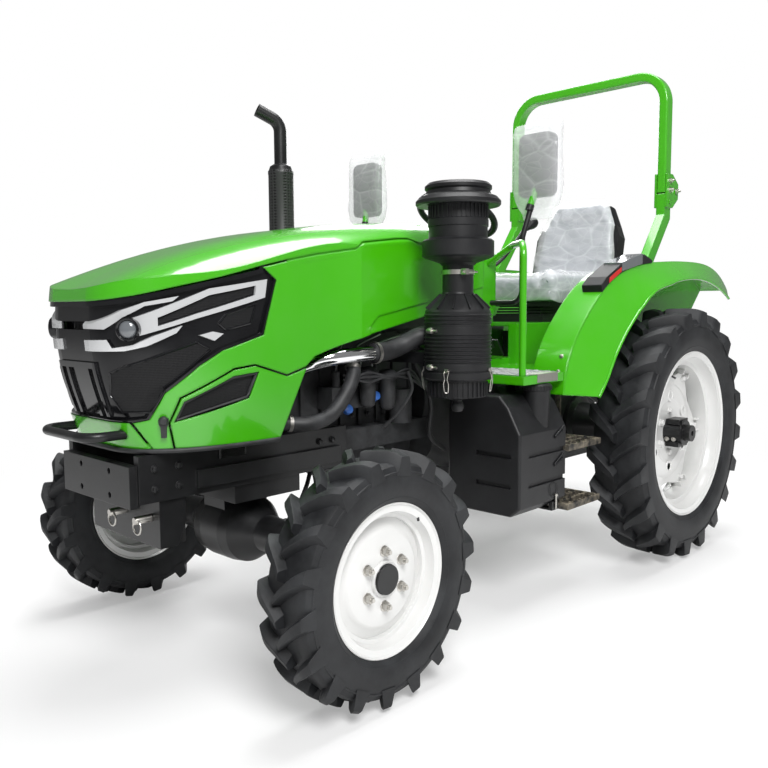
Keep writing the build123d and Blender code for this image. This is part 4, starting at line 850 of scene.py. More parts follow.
def make_rear_rim(side, sign, wheels):
    """Rear rim with a lobed disc set deep inside, bolted to loops on the barrel."""
    centre = joint_point("spin_rear_" + side)
    body = "rear_wheel_" + side
    place = facing(centre, (0, sign, 0))
    back = wheels.rear_rim_width / 2 - REAR_DISC_DEPTH
    bm = bmesh.new()
    add_barrel(bm, wheels.rear_rim, wheels.rear_rim_width, 0.007, 0.034, place)
    reach = lobes(REAR_DISC, 0.052, 6)
    add_disc(bm, (
        (REAR_DISC, back, 1.0), (REAR_DISC, back + 0.010, 1.0), (0.285, back + 0.012, 1.0),
        (0.222, back + 0.013, 0.0), (0.214, back + 0.018, 0.0), (0.190, back + 0.020, 0.0),
        (0.150, back + 0.020, 0.0), (0.140, back + 0.014, 0.0), (0.062, back + 0.012, 0.0),
        (0.039, back + 0.012, 0.0), (0.039, back, 0.0), (0.250, back, 0.2)), reach, place)
    for number in range(6):
        turn = number * math.pi / 3
        loop = place @ Matrix.Rotation(turn, 4, "Z")
        add_box(bm, loop @ Matrix.Translation((0.297, 0, back - 0.012)), (0.044, 0.062, 0.022))
        for offset in (-0.027, 0.027):
            add_box(bm, loop @ Matrix.Translation((REAR_DISC, offset, back + 0.004)), (0.034, 0.008, 0.052))
        swell = loop @ Matrix.Rotation(math.pi / 6, 4, "Z") @ Matrix.Translation((0.168, 0, back + 0.019))
        add_capped_lathe(bm, ((0.030, 0.0), (0.028, 0.003), (0.019, 0.004), (0.017, 0.001)), swell, 32)
    obj = piece_from(bm, "Rear_rim_" + side, "white", body, angle=30.0, bevel=0.0014)
    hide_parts("rear_rim_" + side)
    bm = bmesh.new()
    for number in range(6):
        turn = number * math.pi / 3
        for radius, size in ((REAR_LOOP_CIRCLE, 0.014), (REAR_HUB_CIRCLE, 0.017)):
            spin = turn if radius == REAR_LOOP_CIRCLE else turn + math.pi / 6
            spot = place @ polar(radius, spin, back + 0.012)
            add_hex_bolt(bm, spot, (0, sign, 0), size, 0.014)
    piece_from(bm, "Rear_wheel_bolts_" + side, "white", body)
    bm = bmesh.new()
    for turn in (0.5, 0.5 + math.pi):
        for along in (0.030, 0.062):
            spot = place @ (Matrix.Rotation(turn, 3, "Z") @ Vector((0.058, 0.0, back + along)))
            add_hex_bolt(
                bm, spot, place.to_3x3() @ (Matrix.Rotation(turn, 3, "Z") @ Vector((1, 0, 0))), 0.011)
    piece_from(bm, "Clamp_bolts_" + side, "zinc", body)
    bm = bmesh.new()
    spot = place @ polar(0.352, 2.2, wheels.rear_rim_width / 2 - 0.02)
    add_tube(bm, (spot, spot + place.to_3x3() @ Vector((0.012, -0.016, 0.022))), 0.0045, 12, 2)
    piece_from(bm, "Rear_valve_" + side, "hose", body)


class TRACTOR_OT_rims(bpy.types.Operator):
    """Make the four rims with their nuts, caps and valves"""
    bl_idname = "tractor.rims"
    bl_label = "Rims"

    def execute(self, context):
        wheels = context.scene.tractor_wheels
        for side, sign in SIDES:
            make_front_rim(side, sign, wheels)
            make_rear_rim(side, sign, wheels)
        return {"FINISHED"}


# Trim laid on the panels
def skin_of(*names):
    """Search tree over the faces of some nodes."""
    points = []
    faces = []
    for name in names:
        mesh = NODES[name].data
        base = len(points)
        points += [vertex.co.copy() for vertex in mesh.vertices]
        faces += [tuple(index + base for index in polygon.vertices) for polygon in mesh.polygons]
    return BVHTree.FromPolygons(points, faces)


def on_skin(skin, start, direction, lift=0.0):
    """First point of a skin seen from start, lifted off it; with its normal."""
    point, normal, _, _ = skin.ray_cast(Vector(start), Vector(direction).normalized())
    if point is None:
        raise RuntimeError("no face on the way from %s" % (tuple(start),))
    if normal.dot(Vector(direction)) > 0:
        normal = -normal
    return point + normal * lift, normal


def on_side(skin, x, z, sign, lift=0.0):
    """Point of a skin seen straight from the side."""
    return on_skin(skin, (x, 2.0 * sign, z), (0, -sign, 0), lift)[0]


def upright(point, normal):
    """Matrix on a panel: local Z out of it, local Y up along it."""
    out = Vector(normal).normalized()
    side = Vector((0, 0, 1)).cross(out).normalized()
    up = out.cross(side)
    return Matrix.Translation(point) @ Matrix((side, up, out)).transposed().to_4x4()


def add_patch(bm, skin, outline, sign, lift, pitch=0.025):
    """Sheet that follows a skin inside an outline of side-view points."""
    flat = bmesh.new()
    flat.faces.new([flat.verts.new((x, 0, z)) for x, z in outline])
    for axis in (0, 2):
        values = [point[0 if axis == 0 else 1] for point in outline]
        count = int((max(values) - min(values)) / pitch)
        for step in range(1, count + 1):
            spot = Vector((0, 0, 0))
            spot[axis] = min(values) + step * (max(values) - min(values)) / (count + 1)
            way = Vector((0, 0, 0))
            way[axis] = 1
            bmesh.ops.bisect_plane(
                flat, geom=flat.verts[:] + flat.edges[:] + flat.faces[:], plane_co=spot, plane_no=way)
    made = {
        vertex: bm.verts.new(on_side(skin, vertex.co.x, vertex.co.z, sign, lift)) for vertex in flat.verts}
    for face in flat.faces:
        bm.faces.new([made[vertex] for vertex in face.verts])
    flat.free()


def closed_path(outline, count=8):
    """More points along a closed outline."""
    path = []
    for first, second in zip(outline, outline[1:] + outline[:1]):
        for step in range(count):
            path.append((first[0] + (second[0] - first[0]) * step / count,
                         first[1] + (second[1] - first[1]) * step / count))
    return path


def ahead(points):
    """Points given ahead of the front axle."""
    return tuple((FRONT_X + x, z) for x, z in points)


LOWER_SCREEN = ahead((
    (0.532, 0.982), (0.512, 1.000), (0.41, 1.040), (0.33, 1.066), (0.29, 1.044), (0.42, 0.938),
    (0.452, 0.868), (0.498, 0.866), (0.522, 0.915)))
BAY_SCREEN = ahead((
    (0.434, 1.134), (0.293, 1.198), (0.136, 1.228), (0.141, 1.207), (0.329, 1.155), (0.434, 1.120)))
SIDE_SCREEN = ahead(((0.262, 1.118), (0.236, 1.146), (0.130, 1.176), (0.152, 1.118), (0.24, 1.100)))
WINDOW = ahead(((0.176, 0.896), (0.392, 0.842), (0.372, 0.892), (0.224, 0.957), (0.140, 0.965)))


class TRACTOR_OT_nose(bpy.types.Operator):
    """Lay screens, lamp glass, latches and edge rubber on the nose"""
    bl_idname = "tractor.nose"
    bl_label = "Nose"

    def execute(self, context):
        grille = skin_of("grille")
        for side, sign in SIDES:
            self.make_screens(grille, sign, side)
            self.make_lamp(sign, side)
            self.make_latch(sign, side)
            self.make_window(sign, side)
        self.make_slot()
        self.make_edge_rubber()
        return {"FINISHED"}

    def make_screens(self, grille, sign, side):
        """Screens with thin rims in the dark front."""
        bm = bmesh.new()
        for outline in (LOWER_SCREEN, BAY_SCREEN, SIDE_SCREEN):
            add_patch(bm, grille, outline, sign, 0.0015, 0.02)
        piece_from(bm, "Grille_screens_" + side, "screen", "hood")
        bm = bmesh.new()
        for outline in (LOWER_SCREEN, SIDE_SCREEN):
            path = [on_side(grille, x, z, sign, 0.0015) for x, z in closed_path(list(outline))]
            add_tube(bm, path, 0.0035, 8, 1, cyclic=True)
        piece_from(bm, "Screen_rims_" + side, "gloss", "hood")

    def make_lamp(self, sign, side):
        """Round lens in a black ring beside the nose."""
        centre = Vector((FRONT_X + 0.512, 0.228 * sign, 1.106))
        place = facing(centre, (0.72, 0.69 * sign, 0.0))
        bm = bmesh.new()
        add_lathe(bm, (
            (0.033, -0.012), (0.033, 0.010), (0.030, 0.013), (0.026, 0.010), (0.026, -0.012)), place, 48)
        piece_from(bm, "Lamp_ring_" + side, "gloss", "hood")
        bm = bmesh.new()
        add_capped_lathe(bm, (
            (0.026, 0.002), (0.024, 0.008), (0.018, 0.012), (0.009, 0.0145), (0.002, 0.015)), place, 40)
        piece_from(bm, "Lamp_lens_" + side, "lens_white", "hood", angle=60)

    def make_latch(self, sign, side):
        """Rubber pull that holds the lid."""
        skin = skin_of("hood_side_" + side)
        point, normal = on_skin(skin, (FRONT_X + 0.424, 2.0 * sign, 0.822), (0, -sign, 0))
        place = upright(point, normal)
        bm = bmesh.new()
        outline = (
            (-0.008, -0.028), (0.008, -0.028), (0.009, 0.004), (0.014, 0.014), (0.015, 0.026),
            (0.008, 0.033), (-0.008, 0.033), (-0.015, 0.026), (-0.014, 0.014), (-0.009, 0.004))
        add_outline(bm, outline, -0.002, 0.012, "Z")
        add_capped_lathe(
            bm, ((0.012, 0.0), (0.013, 0.016), (0.010, 0.022)), Matrix.Translation((0, 0.024, 0)), 24)
        bm.transform(place)
        piece_from(bm, "Lid_latch_" + side, "hose", "hood", bevel=0.002)

    def make_window(self, sign, side):
        """Screen behind the opening of the lower panel, on a plane through its border."""
        skin = skin_of("lower_panel_" + side)
        centre = (sum(x for x, _ in WINDOW) / len(WINDOW), sum(z for _, z in WINDOW) / len(WINDOW))

        def grown(along, up):
            return [(
                centre[0] + (x - centre[0]) * along, centre[1] + (z - centre[1]) * up) for x, z in WINDOW]
        reach = [skin.find_nearest(Vector((x, 0.30 * sign, z)))[0].y for x, z in grown(1.16, 1.2)]
        bm = bmesh.new()
        near = [bm.verts.new((x, y - 0.005 * sign, z)) for (x, z), y in zip(grown(1.08, 1.1), reach)]
        middle = bm.verts.new((centre[0], sum(reach) / len(reach) - 0.002 * sign, centre[1]))
        for step in range(len(near)):
            bm.faces.new((near[step], near[(step + 1) % len(near)], middle))
        piece_from(bm, "Window_screen_" + side, "screen", angle=60)
        bm = bmesh.new()
        ring = [(x, y - 0.001 * sign, z) for (x, z), y in zip(WINDOW, reach)]
        dense = [
            Vector(a).lerp(Vector(b), step / 8) for a, b in zip(ring, ring[1:] + ring[:1])
            for step in range(8)]
        add_tube(bm, dense, 0.0045, 8, 1, cyclic=True)
        piece_from(bm, "Window_seal_" + side, "hose")

    def make_slot(self):
        """Slats behind the slot in the nose."""
        bm = bmesh.new()
        for step in range(15):
            y = -0.063 + 0.009 * step
            add_block(bm, (FRONT_X + 0.530, y - 0.0012, 1.1045), (FRONT_X + 0.545, y + 0.0012, 1.1275))
        for z in (1.110, 1.116, 1.122):
            add_block(bm, (FRONT_X + 0.530, -0.066, z - 0.001), (FRONT_X + 0.543, 0.066, z + 0.001))
        piece_from(bm, "Nose_slot_slats", "gloss", "hood")

    def make_edge_rubber(self):
        """Rubber edge under the skirt and the lower panels."""
        skin = skin_of(
            "nose_skirt", "lower_panel_left", "lower_panel_right", "hood_side_left", "hood_side_right")
        half = []
        for step in range(12):
            half.append(on_side(skin, FRONT_X + 0.06 + 0.33 * step / 11, 0.775, 1))
        for step in range(8):
            y = 0.21 * (1 - step / 7)
            half.append(on_skin(skin, (3.0, y, 0.775), (-1, 0, 0))[0])
        path = [Vector((p.x, p.y, 0.752)) for p in half]
        path += [Vector((p.x, -p.y, 0.752)) for p in reversed(half[:-1])]
        bm = bmesh.new()
        add_tube(bm, path, 0.0075, 10, 2)
        piece_from(bm, "Skirt_rubber", "hose")


class TRACTOR_OT_intake(bpy.types.Operator):
    """Add clips, straps, clamp and vanes to the air cleaner"""
    bl_idname = "tractor.intake"
    bl_label = "Air cleaner trim"

    def execute(self, context):
        low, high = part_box("precleaner")
        centre = Vector(((low.x + high.x) / 2, (low.y + high.y) / 2, 0.0))
        bm = bmesh.new()
        place = Matrix.Translation(centre)
        add_lathe(bm, ((0.0555, 1.278), (0.0585, 1.278), (0.0585, 1.294), (0.0555, 1.294)), place, 48)
        add_block(bm, centre + Vector((0.030, 0.052, 1.276)), centre + Vector((0.048, 0.072, 1.296)))
        add_hex_bolt(bm, centre + Vector((0.048, 0.062, 1.286)), (1, 0, 0), 0.007)
        add_tube(bm, (
            centre + Vector((-0.03, 0.062, 1.286)), centre + Vector((0.05, 0.062, 1.286))), 0.0032, 10, 2)
        for turn in (0.35, 1.85, 3.6, 5.2):
            self.add_clip(bm, centre, turn)
        for z in STRAP_LEVELS:
            spot = centre + Vector((0.123, 0.004, z))
            add_tube(bm, (spot, spot + Vector((-0.006, -0.042, 0.0))), 0.0045, 12, 2)
            add_hex_bolt(bm, spot + Vector((-0.006, -0.042, 0.0)), (-0.14, -0.99, 0.0), 0.009)
            add_capped_lathe(bm, ((0.010, 0.0), (0.011, 0.003), (0.011, 0.020), (0.009, 0.023)),
                             facing(spot + Vector((-0.003, -0.020, 0.0)), (-0.14, -0.99, 0.0)), 20)
        piece_from(bm, "Air_cleaner_fittings", "zinc")
        bm = bmesh.new()
        add_ribs(bm, place, 40, (0.1035, 0, 1.495), (0.006, 0.005, 0.046))
        for z in STRAP_LEVELS:
            add_lathe(bm, (
                (0.1165, z - 0.012), (0.1195, z - 0.012), (0.1195, z + 0.012), (0.1165, z + 0.012)), place,
                64)
        add_ribs(bm, place, 36, (0.105, 0, 0.874), (0.008, 0.006, 0.050))
        piece_from(bm, "Air_cleaner_ribs", "plastic", bevel=0.001)
        bm = bmesh.new()
        add_lathe(bm, (
            (0.0165, 0.826), (0.020, 0.822), (0.024, 0.806), (0.018, 0.790), (0.010, 0.788),
            (0.010, 0.826)), place, 32)
        piece_from(bm, "Dust_valve", "hose")
        self.make_sleeve()
        return {"FINISHED"}

    def make_sleeve(self):
        """Pierced heat sleeve round the exhaust."""
        shield = Matrix.Translation((FRONT_X - 0.580, -0.430, 0.0))
        bm = bmesh.new()
        add_lathe(bm, (
            (0.0523, 1.420), (0.0545, 1.424), (0.0545, 1.436), (0.0533, 1.440), (0.0533, 1.726),
            (0.0545, 1.730), (0.0545, 1.742), (0.0523, 1.745)), shield, 64)
        piece_from(bm, "Exhaust_sleeve", "pierced")

    def add_clip(self, bm, centre, turn):
        """Bent wire that holds the bottom cover."""
        out = Vector((math.cos(turn), math.sin(turn), 0))
        side = Vector((-math.sin(turn), math.cos(turn), 0))
        for shift in (-0.008, 0.008):
            add_tube(bm, [centre + out * r + side * (shift * w) + Vector((0, 0, z)) for r, w, z in (
                (0.120, 1.0, 0.944), (0.128, 1.0, 0.932), (0.130, 0.6, 0.915), (0.128, 1.1, 0.898),
                (0.124, 0.8, 0.872), (0.122, 0.0, 0.866))], 0.0017, 8, 5)
        foot = centre + out * 0.119
        add_block(bm, foot - Vector((0.006, 0.006, -0.936)), foot + Vector((0.006, 0.006, 0.950)))


class TRACTOR_OT_roll_bar(bpy.types.Operator):
    """Bolt the roll bar's hinge plates"""
    bl_idname = "tractor.roll_bar"
    bl_label = "Roll bar bolts"

    def execute(self, context):
        fold = joint_point("rops_fold")
        posts = skin_of("rops_posts")
        bm = bmesh.new()
        for sign in (-1, 1):
            for x, z in (
                    (fold.x + 0.066, fold.z + 0.048), (fold.x + 0.066, fold.z + 0.002), (fold.x, fold.z)):
                outside = on_side(posts, x, z, sign).y
                add_hex_bolt(bm, (x, outside, z), (0, sign, 0), 0.0135, 0.011)
                add_capped_lathe(bm, ((0.006, 0.0), (0.006, 0.020), (0.005, 0.022)),
                                 facing((x, outside, z), (0, sign, 0)), 12)
        piece_from(bm, "Roll_bar_bolts", "zinc")
        return {"FINISHED"}


# Seat
def node_copy(node, name):
    """Copy of a node's mesh as a new object at the same place."""
    obj = bpy.data.objects.new(name, NODES[node].data.copy())
    bpy.context.scene.collection.objects.link(obj)
    return obj


def apply_modifiers(obj):
    """Put the evaluated mesh in place of the modifiers."""
    graph = bpy.context.evaluated_depsgraph_get()
    mesh = bpy.data.meshes.new_from_object(obj.evaluated_get(graph), depsgraph=graph)
    obj.modifiers.clear()
    obj.data = mesh


def stuff(obj, held):
    """Swell a closed shape as foam under a cover, held still where held(point) is true."""
    remesh = obj.modifiers.new("Even grid", "REMESH")
    remesh.mode = "VOXEL"
    remesh.voxel_size = FOAM_GRID
    apply_modifiers(obj)
    rest = [vertex.co.copy() for vertex in obj.data.vertices]
    pins = obj.vertex_groups.new(name="Held")
    pins.add([number for number, point in enumerate(rest) if held(point)], 1.0, "REPLACE")
    cloth = obj.modifiers.new("Cover", "CLOTH")
    cloth.settings.quality = 4
    cloth.settings.mass = 0.3
    cloth.settings.tension_stiffness = 22
    cloth.settings.compression_stiffness = 12
    cloth.settings.bending_stiffness = 0.8
    cloth.settings.use_pressure = True
    cloth.settings.uniform_pressure_force = FOAM_PRESSURE
    cloth.settings.effector_weights.gravity = 0.0
    cloth.settings.vertex_group_mass = "Held"
    cloth.point_cache.frame_start = 1
    cloth.point_cache.frame_end = FOAM_FRAMES
    for number in range(1, FOAM_FRAMES + 1):
        bpy.context.scene.frame_set(number)
    apply_modifiers(obj)
    bpy.context.scene.frame_set(1)
    for vertex, start in zip(obj.data.vertices, rest):
        move = vertex.co - start
        if move.length > FOAM_REACH:
            vertex.co = start + move * (FOAM_REACH / move.length)
    smooth = obj.modifiers.new("Smooth", "SMOOTH")
    smooth.factor = 0.5
    smooth.iterations = 4
    finer = obj.modifiers.new("Finer", "SUBSURF")
    finer.levels = 1
    finer.render_levels = 1


class TRACTOR_OT_seat(bpy.types.Operator):
    """Stuff the seat's cushion and back and lay clear film over them"""
    bl_idname = "tractor.seat"
    bl_label = "Seat"

    def execute(self, context):
        self.make_cushion()
        self.make_back()
        return {"FINISHED"}

    def cover(self, obj, held, node):
        """Stuffed vinyl cover that stands for its solid."""
        stuff(obj, held)
        finish_mesh(obj, "vinyl", angle=60)
        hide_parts(node)

    def make_cushion(self):
        """Cushion with a sunk centre panel and two cross seams."""
        low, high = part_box("seat_cushion")

        def held(point):
            if point.z < low.z + 0.012:
                return True
            rim = abs(abs(point.y) - 0.140) < SEAM_HALF and low.x + 0.03 < point.x < high.x - 0.06
            cross = any(
                abs(point.x - low.x - share * (high.x - low.x)) < SEAM_HALF for share in (0.36, 0.66))
            return point.z > low.z + 0.06 and (rim or (cross and abs(point.y) < 0.140))
        obj = node_copy("seat_cushion", "Cushion_cover")
        self.cover(obj, held, "seat_cushion")
        self.make_film("seat_cushion", "Cushion_film", "draped")

    def make_back(self):
        """Backrest with a bordered panel and four cross seams."""
        low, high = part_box("seat_back")
        origin = Vector((high.x, 0, low.z))
        up = Vector((-math.sin(BACK_LEAN), 0, math.cos(BACK_LEAN)))
        out = Vector((math.cos(BACK_LEAN), 0, math.sin(BACK_LEAN)))
        tall = (high - low).z

        def held(point):
            along = (point - origin).dot(up)
            depth = (point - origin).dot(out)
            if depth < -0.050:
                return True
            border = 0.152 - 0.035 * max(0.0, along / tall - 0.5)
            rim = abs(abs(point.y) - border) < SEAM_HALF and 0.05 < along < tall * 0.86
            cross = any(abs(along - share * tall) < SEAM_HALF for share in (0.16, 0.34, 0.52, 0.84))
            return rim or (cross and abs(point.y) < border)
        obj = node_copy("seat_back", "Backrest_cover")
        self.cover(obj, held, "seat_back")
        self.make_film("seat_back", "Back_film", "stretched")

    def make_film(self, node, name, held):
        """Creased clear film over the outside of a cushion."""
        obj = node_copy(node, name)
        bm = bmesh.new()
        bm.from_mesh(obj.data)
        bmesh.ops.remove_doubles(bm, verts=bm.verts, dist=0.0004)
        keep, least = Vector((math.cos(FILM_LEAN), 0, math.sin(FILM_LEAN))), 0.35
        if node == "seat_cushion":
            keep, least = Vector((0, 0, 1)), -0.5
        doomed = [face for face in bm.faces if face.normal.dot(keep) < least]
        bmesh.ops.delete(bm, geom=doomed, context="FACES")
        bmesh.ops.triangulate(bm, faces=bm.faces)
        for _ in range(4):
            bmesh.ops.subdivide_edges(
                bm, edges=[edge for edge in bm.edges if edge.calc_length() > 0.016], cuts=1)
            bmesh.ops.triangulate(bm, faces=bm.faces)
        bm.normal_update()
        for vertex in bm.verts:
            fold = 1.0 - 2.0 * abs(noise.noise(vertex.co * 12.0)) + 0.3 * noise.noise(vertex.co * 30.0)
            vertex.co += vertex.normal * (FILM_GAP + FILM_FOLD * fold)
        bm.to_mesh(obj.data)
        area = sum(face.calc_area() for face in bm.faces)
        bm.free()
        finish_mesh(obj, "film", angle=80)


# Engine bay, tank and fenders
def off_rear(x, y, z):
    """Point given ahead of the rear axle."""
    return Vector((REAR_X + x, y, z))


def rear_run(*points):
    """Points given ahead of the rear axle."""
    return [off_rear(*point) for point in points]


class TRACTOR_OT_engine(bpy.types.Operator):
    """Add pipes, hoses, filter bowls and wires to the engine"""
    bl_idname = "tractor.engine"
    bl_label = "Engine fittings"

    def execute(self, context):
        self.make_pipes()
        self.make_filters()
        self.make_wires()
        return {"FINISHED"}

    def make_pipes(self):
        """Bright intake pipe, its boot to the air cleaner and the big coolant hoses."""
        bm = bmesh.new()
        add_tube(bm, rear_run(
            (1.86, 0.20, 0.955), (1.82, 0.265, 0.985), (1.75, 0.300, 0.998), (1.60, 0.312, 1.004)), 0.027,
            24, 12)
        piece_from(bm, "Intake_pipe", "chrome")
        bm = bmesh.new()
        add_tube(bm, rear_run(
            (1.615, 0.312, 1.004), (1.54, 0.318, 1.010), (1.48, 0.335, 1.030), (1.435, 0.372, 1.058),
            (1.40, 0.40, 1.062)), 0.034, 24, 10)
        add_capped_lathe(
            bm, ((0.037, -0.008), (0.037, 0.008)), facing(off_rear(1.60, 0.312, 1.004), (-1, 0.05, 0.05)),
            32)
        add_tube(bm, rear_run(
            (1.66, 0.255, 0.990), (1.690, 0.290, 0.930), (1.741, 0.302, 0.865), (1.812, 0.302, 0.802),
            (1.90, 0.290, 0.781), (1.99, 0.230, 0.790)), 0.025, 24, 12)
        add_tube(bm, rear_run((1.90, -0.12, 1.10), (1.84, -0.16, 1.13), (1.76, -0.15, 1.12)), 0.022, 20, 10)
        add_tube(bm, rear_run((1.80, -0.24, 0.84), (1.92, -0.26, 0.82), (2.02, -0.20, 0.80)), 0.022, 20, 10)
        piece_from(bm, "Engine_hoses", "hose")
        bm = bmesh.new()
        for centre, way in (
                (off_rear(1.605, 0.312, 1.004), (-1, 0.02, 0.04)),
                (off_rear(1.679, 0.277, 0.955), (0.3, 0.3, -0.9)),
                (off_rear(1.955, 0.262, 0.785), (0.95, -0.4, 0.1))):
            place = facing(centre, way)
            radius = 0.0385 if centre.z > 0.99 else 0.0265
            add_lathe(bm, ((radius - 0.001, -0.006), (radius + 0.001, -0.006), (radius + 0.001, 0.006),
                           (radius - 0.001, 0.006)), place, 32)
        piece_from(bm, "Hose_clamps", "zinc")

    def make_filters(self):
        """Fuel filters with bowls, caps and the injection lines."""
        bm = bmesh.new()
        for x, y, z in ((1.575, 0.245, 0.862), (1.47, 0.245, 0.845)):
            add_capped_lathe(bm, (
                (0.030, z + 0.050), (0.034, z + 0.055), (0.034, z + 0.078), (0.026, z + 0.086),
                (0.010, z + 0.090)), Matrix.Translation((REAR_X + x, y, 0)), 32)
            add_capped_lathe(bm, (
                (0.012, z - 0.062), (0.026, z - 0.052), (0.030, z - 0.020), (0.030, z + 0.050)),
                Matrix.Translation((REAR_X + x, y, 0)), 32)
        for step in range(6):
            x = 1.30 + 0.085 * step
            add_hex_bolt(bm, off_rear(x, 0.1465, 1.072), (0, 1, 0), 0.010)
            add_hex_bolt(bm, off_rear(x, 0.1425, 0.76), (0, 1, 0), 0.010)
        piece_from(bm, "Fuel_filters", "cast")
        bm = bmesh.new()
        for x, y, z in ((1.665, 0.232, 0.800), (1.555, 0.238, 0.826), (1.52, 0.228, 0.836)):
            add_capped_lathe(bm, ((0.012, -0.010), (0.017, -0.006), (0.017, 0.012), (0.010, 0.016)),
                             facing(off_rear(x, y, z), (0.2, 0.9, 0.4)), 24)
        piece_from(bm, "Blue_caps", "blue")
        bm = bmesh.new()
        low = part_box("engine")[0]
        for step in range(4):
            x = low.x + 0.335 + 0.062 * step
            add_tube(bm, ((x, 0.19, 0.935), (x, 0.19, 0.975), (x - 0.02 + 0.02 * step, 0.172, 1.02),
                          (low.x + 0.11 + 0.15 * step, 0.160, 1.062)), 0.0035, 8, 8)
        piece_from(bm, "Injection_lines", "satin_steel")

    def make_wires(self):
        """Loose wiring and thin hoses beside the engine."""
        bm = bmesh.new()
        for shift in (0.0, 0.018, 0.034):
            add_tube(bm, rear_run(
                (1.72, 0.27, 0.93 - shift), (1.62, 0.29, 0.90 + shift), (1.52, 0.30, 0.915),
                (1.42, 0.31, 0.90 + shift), (1.33, 0.30, 0.86)), 0.0045, 8, 8)
        add_tube(bm, rear_run(
            (1.45, 0.33, 0.93), (1.44, 0.34, 0.86), (1.47, 0.30, 0.78), (1.50, 0.25, 0.72)), 0.006, 8, 10)
        add_tube(bm, rear_run(
            (1.30, 0.23, 0.95), (1.24, 0.26, 0.80), (1.22, 0.24, 0.66), (1.10, 0.22, 0.58)), 0.010, 10, 10)
        piece_from(bm, "Engine_wiring", "hose")


class TRACTOR_OT_tank(bpy.types.Operator):
    """Add cap ribs, mouldings and a strap to the fuel tank"""
    bl_idname = "tractor.tank"
    bl_label = "Tank trim"

    def execute(self, context):
        low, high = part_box("fuel_tank")
        side = high.y
        bm = bmesh.new()
        cap = Matrix.Translation((low.x + 0.130, 0.588, 0.0))
        add_ribs(bm, cap, 28, (0.0555, 0, 0.853), (0.005, 0.006, 0.016))
        place = facing((low.x + 0.085, side - 0.0005, 0.452), (0, 1, 0))
        add_lathe(bm, ((0.026, 0.0), (0.026, 0.002), (0.029, 0.002), (0.029, 0.0)), place, 40)
        for z in (0.545, 0.655):
            for tilt in (0.0, 0.018):
                add_tube(bm, (
                    (low.x + 0.020, side, z + 0.024 + tilt), (low.x + 0.085, side, z + tilt * 0.3)), 0.0035,
                    8, 4)
        piece_from(bm, "Tank_mouldings", "plastic", bevel=0.001)
        bm = bmesh.new()
        add_block(bm, (low.x + 0.052, 0.30, 0.366), (low.x + 0.092, 0.628, 0.3735))
        add_block(bm, (low.x + 0.052, 0.624, 0.366), (low.x + 0.092, 0.640, 0.402))
        piece_from(bm, "Tank_strap", "black", bevel=0.0015)
        bm = bmesh.new()
        add_tube(bm, (
            Vector((low.x + 0.072, 0.644, 0.372)), Vector((low.x + 0.072, 0.644, 0.430))), 0.004, 10, 2)
        add_hex_bolt(bm, (low.x + 0.072, 0.644, 0.424), (0, 0, 1), 0.010)
        add_tube(bm, (
            Vector((low.x + 0.130, 0.588, 0.868)), Vector((low.x + 0.130, 0.588, 0.884))), 0.004, 10, 2)
        piece_from(bm, "Tank_bolt", "zinc")
        return {"FINISHED"}


class TRACTOR_OT_fenders(bpy.types.Operator):
    """Roll the fenders' lips and dress their lamps"""
    bl_idname = "tractor.fenders"
    bl_label = "Fenders"

    def execute(self, context):
        for side, sign in SIDES:
            mesh = NODES["fender_" + side].data
            reach = max(vertex.co.y * sign for vertex in mesh.vertices)
            edge = [vertex.co.copy() for vertex in mesh.vertices if vertex.co.y * sign > reach - 0.0005]
            axle = Vector((REAR_X, reach * sign, REAR_Z))
            edge.sort(key=lambda point: math.atan2(point.z - axle.z, point.x - axle.x))
            path = []
            for point in edge:
                if not path or (point - path[-1]).length > 0.02:
                    path.append(point)
            bm = bmesh.new()
            add_tube(bm, path, 0.0065, 10, 2)
            piece_from(bm, "Fender_lip_" + side, "green")
            self.make_lamp(side, sign)
        return {"FINISHED"}

    def make_lamp(self, side, sign):
        """Red and clear lenses on the fender lamp, and fender bolts."""
        bm = bmesh.new()
        outer = 0.624 * sign
        outline = [(REAR_X + x, z) for x, z in (
            (0.500, 1.262), (0.498, 1.284), (0.395, 1.332), (0.395, 1.312))]
        add_outline(bm, outline, outer - 0.070 * sign, outer + 0.003 * sign, "Y")
        piece_from(bm, "Fender_lamp_red_" + side, "red", bevel=0.002)
        bm = bmesh.new()
        outline = [(REAR_X + x, z) for x, z in (
            (0.390, 1.314), (0.390, 1.3535), (0.200, 1.3985), (0.200, 1.352))]
        add_outline(bm, outline, outer - 0.088 * sign, outer + 0.0035 * sign, "Y")
        piece_from(bm, "Fender_lamp_clear_" + side, "lens_white", bevel=0.002)
        fender = skin_of("fender_" + side)
        spots = [vertex.co for vertex in NODES["fender_" + side].data.vertices]
        foot = min(spot.z for spot in spots if spot.x > REAR_X + 0.4)
        bm = bmesh.new()
        for y, lift in ((0.550, 0.036), (0.585, 0.105), (0.585, 0.165)):
            point, normal = on_skin(fender, (3.0, y * sign, foot + lift), (-1, 0, 0))
            add_hex_bolt(bm, point, normal, 0.009)
        piece_from(bm, "Fender_bolts_" + side, "zinc")
        point, normal = on_skin(fender, (3.0, 0.490 * sign, foot + 0.034), (-1, 0, 0))
        bm = bmesh.new()
        add_outline(bm, rounded_box(0.046, 0.024, 0.0119), -0.001, 0.007, "Z")
        bm.transform(upright(point, normal))
        piece_from(bm, "Fender_grommet_" + side, "hose", bevel=0.002)


